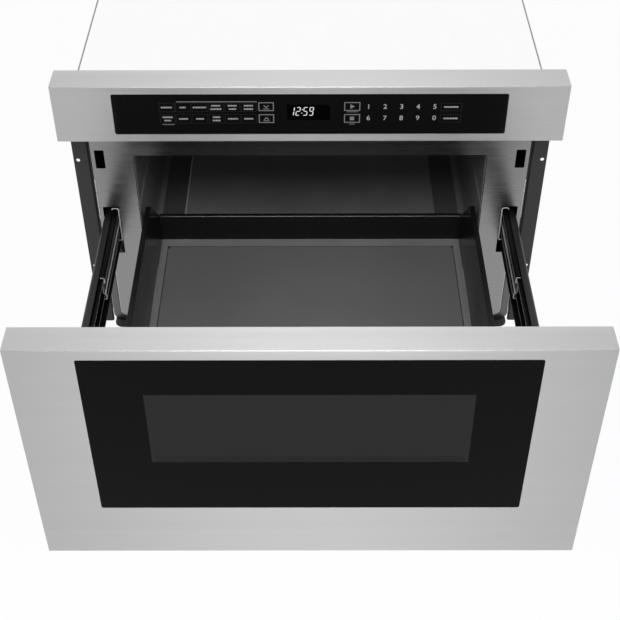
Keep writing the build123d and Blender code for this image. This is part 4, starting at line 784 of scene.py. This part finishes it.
for side in (-1, 1):
    inner, outer, edge = side * wall_x, side * (wall_x + RIM), side * ledge_x
    foot, brink = (inner, ledge_z, ledge_z), (edge, ledge_z, ledge_z)
    for y0, y1, z0, z1 in ((front_y, slope_y, top_z, top_z), (slope_y, rear_y, top_z, REAR_TOP)):
        rim, wall = (outer, z0, z1), (inner, z0, z1)
        along(y0, y1, (outer, z0 - LIP, z1 - LIP), rim)
        along(y0, y1, rim, wall)
        along(y0, y1, wall, foot)
    stations = (front_y, ledge_front, ledge_rear, rear_y)
    for y0, y1 in zip(stations, stations[1:]):
        along(y0, y1, foot, brink, ledge=True)
    along(ledge_front, ledge_rear, brink, (edge, sunk_z, sunk_z))
for y0, y1 in ((front_y, ledge_front), (ledge_rear, rear_y)):
    across(ledge_x, (y0, ledge_z), (y1, ledge_z), ledge=True)
for y in (ledge_front, ledge_rear):
    across(ledge_x, (y, ledge_z), (y, sunk_z))
across(ledge_x, (ledge_front, sunk_z), (ledge_rear, sunk_z))
foot_line = [(x, rear_y, ledge_z) for x in (-wall_x, -ledge_x, ledge_x, wall_x)]
panel(*foot_line, (wall_x, rear_y, REAR_TOP), (-wall_x, rear_y, REAR_TOP))
across(wall_x, (rear_y, REAR_TOP), (pan_high.y, REAR_TOP))
across(wall_x, (pan_high.y, REAR_TOP), (pan_high.y, REAR_TOP - REAR_LIP))

pan_mesh = bpy.data.meshes.new("pan_shell")
pan_mesh.from_pydata([Vector(place) * MM for place in spots], [], walls + ledge_faces)
pan_mesh.materials.append(finishes["pan_enamel"])
# The ledge faces get the lighter copy of the enamel, which is painted light.
pan_mesh.materials.append(finishes["ledge_enamel_lit"])
for face in list(pan_mesh.polygons)[len(walls):]:
    face.material_index = 1
shape = bmesh.new()
shape.from_mesh(pan_mesh)
bmesh.ops.recalc_face_normals(shape, faces=shape.faces)
level = next(f for f in shape.faces if abs(f.calc_center_median().z - ledge_z * MM) < 0.0001)
if level.normal.z < 0:
    bmesh.ops.reverse_faces(shape, faces=shape.faces)
shape.to_mesh(pan_mesh)
shape.free()
for face in pan_mesh.polygons:
    face.use_smooth = True
pan_shell = add_object("pan_shell", pan_mesh)
add_modifier(
    pan_shell, "sheet", "SOLIDIFY", thickness=SHEET * MM, offset=-1.0, use_even_offset=True
)
add_modifier(
    pan_shell, "folds", "BEVEL", width=FOLD * MM, segments=3, limit_method="ANGLE",
    angle_limit=math.radians(FOLD_ANGLE),
)
add_modifier(pan_shell, "flat_faces", "WEIGHTED_NORMAL")
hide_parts("pan")
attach(pan_shell, "drawer")
print("pan faces:", len(walls), "walls,", len(ledge_faces), "ledge")

# %% [markdown]
# ## Seals and beads
#
# Some soft lines are drawn by thin pieces that are too small to be nodes of their own. The
# plate lies in a ring of grey sealant that fills the gap to the ledge. A light steel rod along
# the top edge of the pan's rear wall is a painted highlight. The ceramic over the stirrer is
# sealed along its two sides, and the left seal is light, a painted highlight. On the frame, a
# bright rod on the crest is a painted highlight and a dark rod in the crease, where the border
# steps back, is a painted shadow; a rubber strip runs beside each flange, and a short bright
# edge and corner are painted highlights. Each is a rod laid from corner to corner, and one
# function gives all the round corners. The frame's foot ends in a thin level lip, which is a
# flat outline with a thickness.

# %% Rods for seals and beads
def mesh_of(curve):
    """The mesh that Blender makes of a curve or a text, with no material yet."""
    holder = add_object(curve.name, curve)
    bpy.context.view_layer.update()
    shown = holder.evaluated_get(bpy.context.evaluated_depsgraph_get())
    mesh = bpy.data.meshes.new_from_object(shown)
    bpy.data.objects.remove(holder)
    mesh.materials.clear()
    return mesh


def rod(name, points, radius, finish, body, closed=False):
    """A thin round rod along points given in millimetres."""
    curve = bpy.data.curves.new(name, "CURVE")
    curve.dimensions = "3D"
    spline = curve.splines.new("POLY")
    spline.points.add(len(points) - 1)
    for point, place in zip(spline.points, points):
        point.co = (*(Vector(place) * MM), 1.0)
    spline.use_cyclic_u = closed
    curve.bevel_depth = radius * MM
    curve.bevel_resolution = 2
    curve.use_fill_caps = not closed
    mesh = mesh_of(curve)
    mesh.name = name
    mesh.materials.append(finishes[finish])
    for face in mesh.polygons:
        face.use_smooth = True
    piece = add_object(name, mesh)
    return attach(piece, body)


def quarter(start, steps=6):
    """Cosines and sines in even steps over a quarter turn from an angle in degrees."""
    turns = [math.radians(start + 90 * step / steps) for step in range(steps + 1)]
    return [(math.cos(turn), math.sin(turn)) for turn in turns]


def box_outline(x0, x1, z0, z1, r=0.0, steps=3):
    """Outline of a rectangle, with rounded corners if r is given."""
    if r <= 0:
        return [(x0, z0), (x1, z0), (x1, z1), (x0, z1)]
    centres = ((x1 - r, z0 + r, -90), (x1 - r, z1 - r, 0), (x0 + r, z1 - r, 90), (x0 + r, z0 + r, 180))
    return [
        (cx + r * c, cz + r * s) for cx, cz, start in centres for c, s in quarter(start, steps)
    ]


SEAL_REACH, SEAL_DROP, SEAL_CORNER, SEAL_R = 0.4, 0.30, 4.0, 0.36
low_x, high_x = plate_low.x - SEAL_REACH, plate_high.x + SEAL_REACH
low_y, high_y = plate_low.y - SEAL_REACH, plate_high.y + SEAL_REACH
ring = [
    (x, y, plate_high.z - SEAL_DROP)
    for x, y in box_outline(low_x, high_x, low_y, high_y, SEAL_CORNER, 6)
]
rod("plate_seal", ring, SEAL_R, "seal_grey", "drawer", closed=True)

# A light steel rod along the top of the pan's rear wall: a painted highlight.
HIGHLIGHT_DROP, HIGHLIGHT_AHEAD, HIGHLIGHT_IN, HIGHLIGHT_R = 1.5, 0.35, 1.0, 0.4
highlight_x = wall_x - HIGHLIGHT_IN
rim_highlight = [(x, rear_y - HIGHLIGHT_AHEAD, REAR_TOP - HIGHLIGHT_DROP) for x in (-highlight_x, highlight_x)]
rod("pan_rim_highlight", rim_highlight, HIGHLIGHT_R, "rim_highlight_steel", "drawer")

cover_low, cover_high = millimetres("stirrer_cover")
CAVITY_FLOOR, COVER_GAP, COVER_END, COVER_R = 96.0, 0.25, 6, 0.95
# The left seal is light, a painted highlight; the right one keeps the seal's own grey.
for side, x, finish in (
    ("left", cover_low.x - COVER_GAP, "painted_highlight"),
    ("right", cover_high.x + COVER_GAP, "seal_grey"),
):
    line = [(x, y, CAVITY_FLOOR) for y in (cover_low.y + COVER_END, cover_high.y - COVER_END)]
    rod(f"cover_seal_{side}", line, COVER_R, finish, "root")

frame_low, frame_high = millimetres("front_frame")
face_y = frame_low.y
BORDER, BEND_TOP, BEND_END, ROUND = 11.0, 112.0, 12, 11.0
raised_x, raised_z = frame_high.x - BORDER, frame_low.z + BORDER
# Bent rods: name, place outside the raised face, depth behind it, radius and finish.
# The crest rod's light steel is a painted highlight, and the crease rod's dark print is a painted shadow.
bent_rods = (("crease", 1.2, 1.6, 0.6, "dark_print_and_shadow"), ("crest", 0.0, 0.3, 0.8, "crest_highlight_steel"))
# The edge and corner rods are light, and they are painted highlights.
# Upright rods: name, place inside the frame's edge, depth, two ends, radius, finish and slot.
upright_rods = (
    ("seal", 0.1, 0.7, (56.0, 322.0), 1.2, "rubber_black", "rubber_black"),
    ("edge", 1.3, 0.1, (183.0, 244.0), 0.65, "painted_highlight", "frame_steel"),
    ("corner", 0.3, 2.1, (12.0, 54.0), 0.6, "painted_highlight", "frame_steel"),
)
for side, sign in (("left", -1), ("right", 1)):
    for name, out, depth, radius, finish in bent_rods:
        y, bend = face_y + depth, ROUND + out
        line = [(sign * (raised_x + out), y, BEND_TOP)]
        for c, s in quarter(0):
            line.append((sign * (raised_x - ROUND + bend * c), y, raised_z + ROUND - bend * s))
        line.append((sign * (wall_x + BEND_END), y, raised_z - out))
        rod(f"frame_{name}_{side}", line, radius, finish, "root")
    for name, inset, depth, ends, radius, finish, slot in upright_rods:
        line = [(sign * (frame_high.x - inset), face_y + depth, z) for z in ends]
        rod(f"frame_{name}_{side}", line, radius, finish, "root")

LIP_REACH, LIP_ROUND, LIP_THICK, LIP_BACK = 11.5, 11.0, 0.9, 22.0
LIP_LIFT, LIP_IN = 0.02, 1.0
lip_x, lip_y = frame_high.x - LIP_IN, face_y - LIP_REACH
outline = [(lip_x, face_y + LIP_BACK)]
outline += [(lip_x - LIP_ROUND * (1 - c), lip_y + LIP_ROUND * (1 - s)) for c, s in quarter(0)]
outline += [(-x, y) for x, y in reversed(outline)]
lip_mesh = bpy.data.meshes.new("frame_lip")
lip_places = [(x * MM, y * MM, LIP_LIFT * MM) for x, y in outline]
lip_mesh.from_pydata(lip_places, [], [list(range(len(outline)))])
lip_mesh.materials.append(finishes["lip_steel"])
frame_lip = add_object("frame_lip", lip_mesh)
upward = 1.0 if lip_mesh.polygons[0].normal.z > 0 else -1.0
add_modifier(frame_lip, "sheet", "SOLIDIFY", thickness=LIP_THICK * MM, offset=upward)
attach(frame_lip, "root")
print("seals and beads:", 4 + 2 * (len(bent_rods) + len(upright_rods)), "and the lip")

# %% [markdown]
# ## The marks on the control glass
#
# The keys are printed on the glass in white and grey. A texture could carry the print, but at
# this size true shapes are sharper and stay sharp in any view: each mark is a flat piece a few
# hundredths of a millimetre in front of the glass. One function turns a list of outlines, given
# in millimetres across and up, into a mesh.

# %% A mesh of flat printed shapes
def frame_outline(x0, x1, z0, z1, line):
    """Four bars that make a rectangular outline."""
    return [
        box_outline(x0, x1, z1 - line, z1),
        box_outline(x0, x1, z0, z0 + line),
        box_outline(x0, x0 + line, z0 + line, z1 - line),
        box_outline(x1 - line, x1, z0 + line, z1 - line),
    ]


def printed(name, outlines, finish, y, body="root"):
    """One piece made of flat outlines that face the viewer at depth y."""
    mesh = bpy.data.meshes.new(name)
    vertices, faces = [], []
    for outline in outlines:
        start = len(vertices)
        vertices += [(x * MM, y, z * MM) for x, z in outline]
        faces.append(list(range(start, start + len(outline))))
    mesh.from_pydata(vertices, [], faces)
    mesh.materials.append(finishes[finish])
    piece = add_object(name, mesh)
    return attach(piece, body)


glass_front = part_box("control_glass")[0].y
print("glass front at", round(glass_front / MM, 2), "mm")

# %% [markdown]
# ## Keys, rows and digits
#
# Two rows of small keys stand left of the display, framed very faintly. Four keys with a bright
# frame stand next to it, and the ten digits and two more keys are on the right. What each key
# does is shown by plain strokes and the usual signs: a triangle starts, a square stops, and an
# arrowhead opens or shuts the drawer. The digits come from Blender's own font, turned into
# meshes so that they are real shapes.

# %% Keys and signs
rows = (373.6, 357.9)
columns = (-168.0, -149.1, -129.5, -110.1, -90.8, -71.7)
strokes_in = [[(13.5,), (12.0, 8.0)], [(7.5,), (11.0,)], [(15.5,), (9.5,)], [(11.0, 13.5), (8.5, 9.5)],
              [(11.0, 8.5), (12.0,)], [(11.0, 11.5), (11.5,)]]


def strokes(x, z, width, tall=2.1):
    """A line of short strokes, as wide as asked for, centred at x."""
    made, start, turn = [], x - width / 2, 0
    while start < x + width / 2 - 0.5:
        wide = (1.5, 1.1, 1.8, 1.3)[turn % 4]
        end = min(start + wide, x + width / 2)
        made.append(box_outline(start, end, z - tall / 2, z + tall / 2, 0.25, 2))
        start, turn = end + 0.45, turn + 1
    return made


KEY_X, KEY_Z, KEY_LINE = 9.0, 6.2, 0.5
WIDE_PLACE, WIDE_X, WIDE_Z = 166.2, 12.4, 5.4
LINE_STEP = 4.6
FRAME_LINE = 1.05
faint, words = [], []
for x, lines_in in zip(columns, strokes_in):
    for z, widths in zip(rows, lines_in):
        faint += frame_outline(x - KEY_X, x + KEY_X, z - KEY_Z, z + KEY_Z, KEY_LINE)
        top_line = z + (len(widths) - 1) * LINE_STEP / 2
        for n, width in enumerate(widths):
            words += strokes(x, top_line - LINE_STEP * n, width)
for z, width in zip(rows, (17.0, 16.5)):
    faint += frame_outline(
        WIDE_PLACE - WIDE_X, WIDE_PLACE + WIDE_X, z - WIDE_Z, z + WIDE_Z, KEY_LINE
    )
    words += strokes(WIDE_PLACE, z, width)
small = []
for x, z, width in ((-167.5, 350.1, 14.0), (50.0, 367.3, 12.5), (50.0, 350.3, 7.0)):
    small += strokes(x, z, width, 1.1)

framed = []
for x0, x1 in ((-60.3, -42.2), (40.4, 59.2)):
    for z0, z1 in ((368.6, 380.4), (352.2, 364.0)):
        framed += frame_outline(x0, x1, z0, z1, FRAME_LINE)
framed.append(box_outline(-156.5, -62.0, 380.8, 381.8))
signs = [
    [(-54.8, 376.2), (-51.2, 372.6), (-47.7, 376.2), (-49.2, 376.2), (-51.2, 374.2), (-53.3, 376.2)],
    box_outline(-54.8, -47.7, 371.0, 372.0),
    [(-54.8, 356.6), (-53.3, 356.6), (-51.2, 358.6), (-49.2, 356.6), (-47.7, 356.6), (-51.2, 360.2)],
    box_outline(-54.8, -47.7, 354.6, 355.6),
    [(47.6, 371.4), (52.9, 374.5), (47.6, 377.6)],
    box_outline(47.3, 52.3, 355.6, 360.6),
]
flat_y = glass_front - 0.04 * MM
for name, outlines, finish in (
    ("key_fields", faint, "dim_print"),
    ("key_strokes", words, "white_print"),
    ("key_notes", small, "grey_print"),
    ("key_frames", framed, "grey_print"),
    ("key_signs", signs, "grey_print"),
):
    printed(name, outlines, finish, flat_y)
print("keys:", len(columns) * 2 + 2, "framed keys: 4")

# %% Digits
CAP_SHARE, STROKE_MORE = 0.70, 0.10


def digit(text, x, z, tall):
    """One digit as a mesh that stands on the glass, centred at x and z in millimetres."""
    curve = bpy.data.curves.new(f"digit_{text}", "FONT")
    curve.body = text
    curve.align_x, curve.align_y = "CENTER", "CENTER"
    curve.size = tall * MM / CAP_SHARE
    curve.offset = STROKE_MORE * MM
    mesh = mesh_of(curve)
    place = Matrix.Translation((x * MM, flat_y, z * MM))
    mesh.transform(place @ Matrix.Rotation(math.radians(90), 4, "X"))
    mesh.materials.append(finishes["white_print"])
    piece = add_object(f"digit_{text}", mesh)
    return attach(piece, "root")


DIGIT_TALL = 6.2
digit_columns = (69.0, 88.5, 107.8, 127.2, 146.8)
for z, row in zip((374.0, 358.4), ("12345", "67890")):
    for x, text in zip(digit_columns, row):
        digit(text, x, z, DIGIT_TALL)
print("digits: 10")

# %% [markdown]
# ## Dots along the window's lower edge
#
# At the window's lower edge the glass has a narrow printed band with three staggered rows of
# small dark dots. The band's grey is print and painted light together: it matches the screen as
# seen through the window and covers the screen's darker end. The band and the dots are flat
# pieces like the other prints.

# %% Window's lower band
BAND_LOW, BAND_HIGH, BAND_IN = 0.3, 10.0, 0.5
DOT_ROWS = (1.8, 5.0, 8.3)
DOT_PITCH, DOT_R, DOT_MARGIN = 3.0, 1.1, 8
door_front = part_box("door_glass")[0].y
window_half = WINDOW_X / MM
window_low = WINDOW_Z[0] / MM
band_half = window_half - BAND_IN
band = [box_outline(-band_half, band_half, window_low + BAND_LOW, window_low + BAND_HIGH)]
count = int((2 * window_half - DOT_MARGIN) / DOT_PITCH)
dark_dots = []
for row, up_by in enumerate(DOT_ROWS):
    z = window_low + up_by
    for step in range(count):
        x = (step - (count - 1) / 2 + 0.5 * (row % 2)) * DOT_PITCH
        dark_dots.append(box_outline(x - DOT_R, x + DOT_R, z - DOT_R, z + DOT_R, DOT_R * 0.98, 2))
printed("window_band", band, "band_print_lit", door_front - 0.02 * MM, "drawer")
printed("window_dots", dark_dots, "dark_print_and_shadow", door_front - 0.04 * MM, "drawer")
print("dots:", len(dark_dots))

# %% [markdown]
# ## The clock
#
# The clock sits in a darker field of the glass. Each digit is built from up to seven slanted
# bars, as on a real display, and a table says which bars each digit lights. Two dots part the
# hours from the minutes.

# %% Seven bars to a digit
BARS = {"1": "bc", "2": "abged", "5": "afgcd", "9": "abcdfg"}
SLANT, CLOCK_LOW = 0.14, 362.1


def clock_digit(text, left, low, wide, tall, line):
    """Outlines of the lit bars of one digit."""
    gap, half = 0.18, line / 2
    middle = low + tall / 2
    level = {"a": low + tall - half, "g": middle, "d": low + half}
    sides = {
        "f": (left + half, middle, low + tall),
        "b": (left + wide - half, middle, low + tall),
        "e": (left + half, low, middle),
        "c": (left + wide - half, low, middle),
    }
    outlines = []
    for bar in BARS[text]:
        if bar in level:
            z, x0, x1 = level[bar], left + half + gap, left + wide - half - gap
            shape = [(x0, z), (x0 + half, z - half), (x1 - half, z - half)]
            shape += [(x1, z), (x1 - half, z + half), (x0 + half, z + half)]
        else:
            x, z0, z1 = sides[bar]
            z0, z1 = z0 + gap + half * 0.4, z1 - gap - half * 0.4
            shape = [(x, z0), (x + half, z0 + half), (x + half, z1 - half)]
            shape += [(x, z1), (x - half, z1 - half), (x - half, z0 + half)]
        outlines.append([(x + (z - low) * SLANT, z) for x, z in shape])
    return outlines


clock_field = [box_outline(-26.9, 23.8, 356.0, 376.8, 0.6)]
printed("clock_field", clock_field, "clock_glass", glass_front - 0.02 * MM)
lit = []
for text, left in (("1", -24.2), ("2", -17.2), ("5", -8.6), ("9", -1.6)):
    lit += clock_digit(text, left, CLOCK_LOW, 5.2, 11.8, 1.05)
for z in (365.6, 370.4):
    lean = (z - CLOCK_LOW) * SLANT
    lit.append(box_outline(-10.6 + lean, -9.5 + lean, z - 0.55, z + 0.55))
printed("clock_bars", lit, "clock_light", flat_y)
print("clock bars:", len(lit))

# %% [markdown]
# ## The room: floor, sky and lamps
#
# The drawer stands on a pale floor that runs on to a white background. To let the floor read as
# white paper and still carry a shadow, most of what the camera sees of it is its own even
# light and the rest is plain matt paint. Metal and glass see it in the same way. The sky that
# metal mirrors is bright behind the drawer and dimmer in front, as in a studio with one white
# wall, and matt surfaces get only a share of it. The lamps are four large soft boxes at a plain
# level.

# %% Floor and world
FLOOR_HALF, FLOOR_DROP, OWN_LIGHT = 9, 0.5, 0.96
floor_mesh = bpy.data.meshes.new("studio_floor")
floor_corners = [(x, y, 0) for x, y in box_outline(-FLOOR_HALF, FLOOR_HALF, -FLOOR_HALF, FLOOR_HALF)]
floor_mesh.from_pydata(floor_corners, [], [(0, 1, 2, 3)])
floor = add_object("studio_floor", floor_mesh)
floor.location.z = -FLOOR_DROP * MM

paper, tree, shader = start_material("studio_paper")
shader.inputs["Base Color"].default_value = (0.92, 0.92, 0.92, 1.0)
shader.inputs["Roughness"].default_value = 0.9
glow = add_node(tree, "ShaderNodeEmission", (0, -300), Color=(1, 1, 1, 1), Strength=1.0)
seen = add_node(tree, "ShaderNodeLightPath", (-600, 300))
camera_ray, glossy_ray = seen.outputs["Is Camera Ray"], seen.outputs["Is Glossy Ray"]
any_seen = calc(tree, "MAXIMUM", camera_ray, glossy_ray, (-400, 300))
all_seen = calc(tree, "MAXIMUM", any_seen, seen.outputs["Is Transmission Ray"], (-250, 300))
share = calc(tree, "MULTIPLY", all_seen, OWN_LIGHT, (-100, 300))
blend_paper = add_node(tree, "ShaderNodeMixShader", (150, 100))
for socket, source in zip(blend_paper.inputs, (share, shader.outputs[0], glow.outputs[0])):
    tree.links.new(source, socket)
wire(tree, tree.nodes["Material Output"], {"Surface": blend_paper.outputs[0]})
floor_mesh.materials.append(paper)

FRONT_SKY, BACK_SKY = 0.30, 1.0
SKY_TURN = (-0.60, -0.05)
MATT_SHARE = 0.3
world = bpy.data.worlds.new("studio_world")
scene.world = world
world.use_nodes = True
sky = world.node_tree
backdrop = sky.nodes["Background"]
seen = add_node(sky, "ShaderNodeLightPath", (-600, 300))
camera_ray, through_ray = seen.outputs["Is Camera Ray"], seen.outputs["Is Transmission Ray"]
direct = calc(sky, "MAXIMUM", camera_ray, through_ray, (-450, 300))
way = add_node(sky, "ShaderNodeTexCoord", (-1050, 0))
parts = add_node(sky, "ShaderNodeSeparateXYZ", (-900, 0), {0: way.outputs["Generated"]})
behind = between(
    sky, parts.outputs["Y"], FRONT_SKY, BACK_SKY, (-750, 0), *SKY_TURN,
    interpolation_type="SMOOTHSTEP",
)
matt = between(sky, seen.outputs["Is Glossy Ray"], MATT_SHARE, 1.0, (-600, 100), 0.0, 1.0)
mirrored = calc(sky, "MULTIPLY", behind, matt, (-450, 100))
feeds = {"Value": direct, "To Min": mirrored}
strength = add_node(sky, "ShaderNodeMapRange", (-150, 300), feeds, To_Max=1.0)
wire(sky, backdrop, {"Strength": strength.outputs["Result"]})
backdrop.inputs["Color"].default_value = (1, 1, 1, 1)
print("floor and world ready")

# %% Lamps
TARGET = (0, -0.3, 0.2)
# Name, place, width and height in metres, and power in watts.
soft_boxes = (
    ("high_box", (0.0, -1.9, 2.25), (0.8, 1.0), 24.0),
    ("front_box", (0.0, -2.4, 1.1), (0.8, 0.8), 5.0),
    ("left_box", (-2.4, -0.9, 1.6), (1.0, 1.6), 12.0),
    ("right_box", (2.4, -0.9, 1.6), (1.0, 1.6), 12.0),
)
for name, place, size, watts in soft_boxes:
    light = bpy.data.lights.new(name, "AREA")
    light.shape = "RECTANGLE"
    light.size, light.size_y = size
    light.energy = watts
    lamp = add_object(name, light)
    lamp.location = place
    aim = Vector(TARGET) - Vector(place)
    lamp.rotation_euler = aim.to_track_quat("-Z", "Y").to_euler()
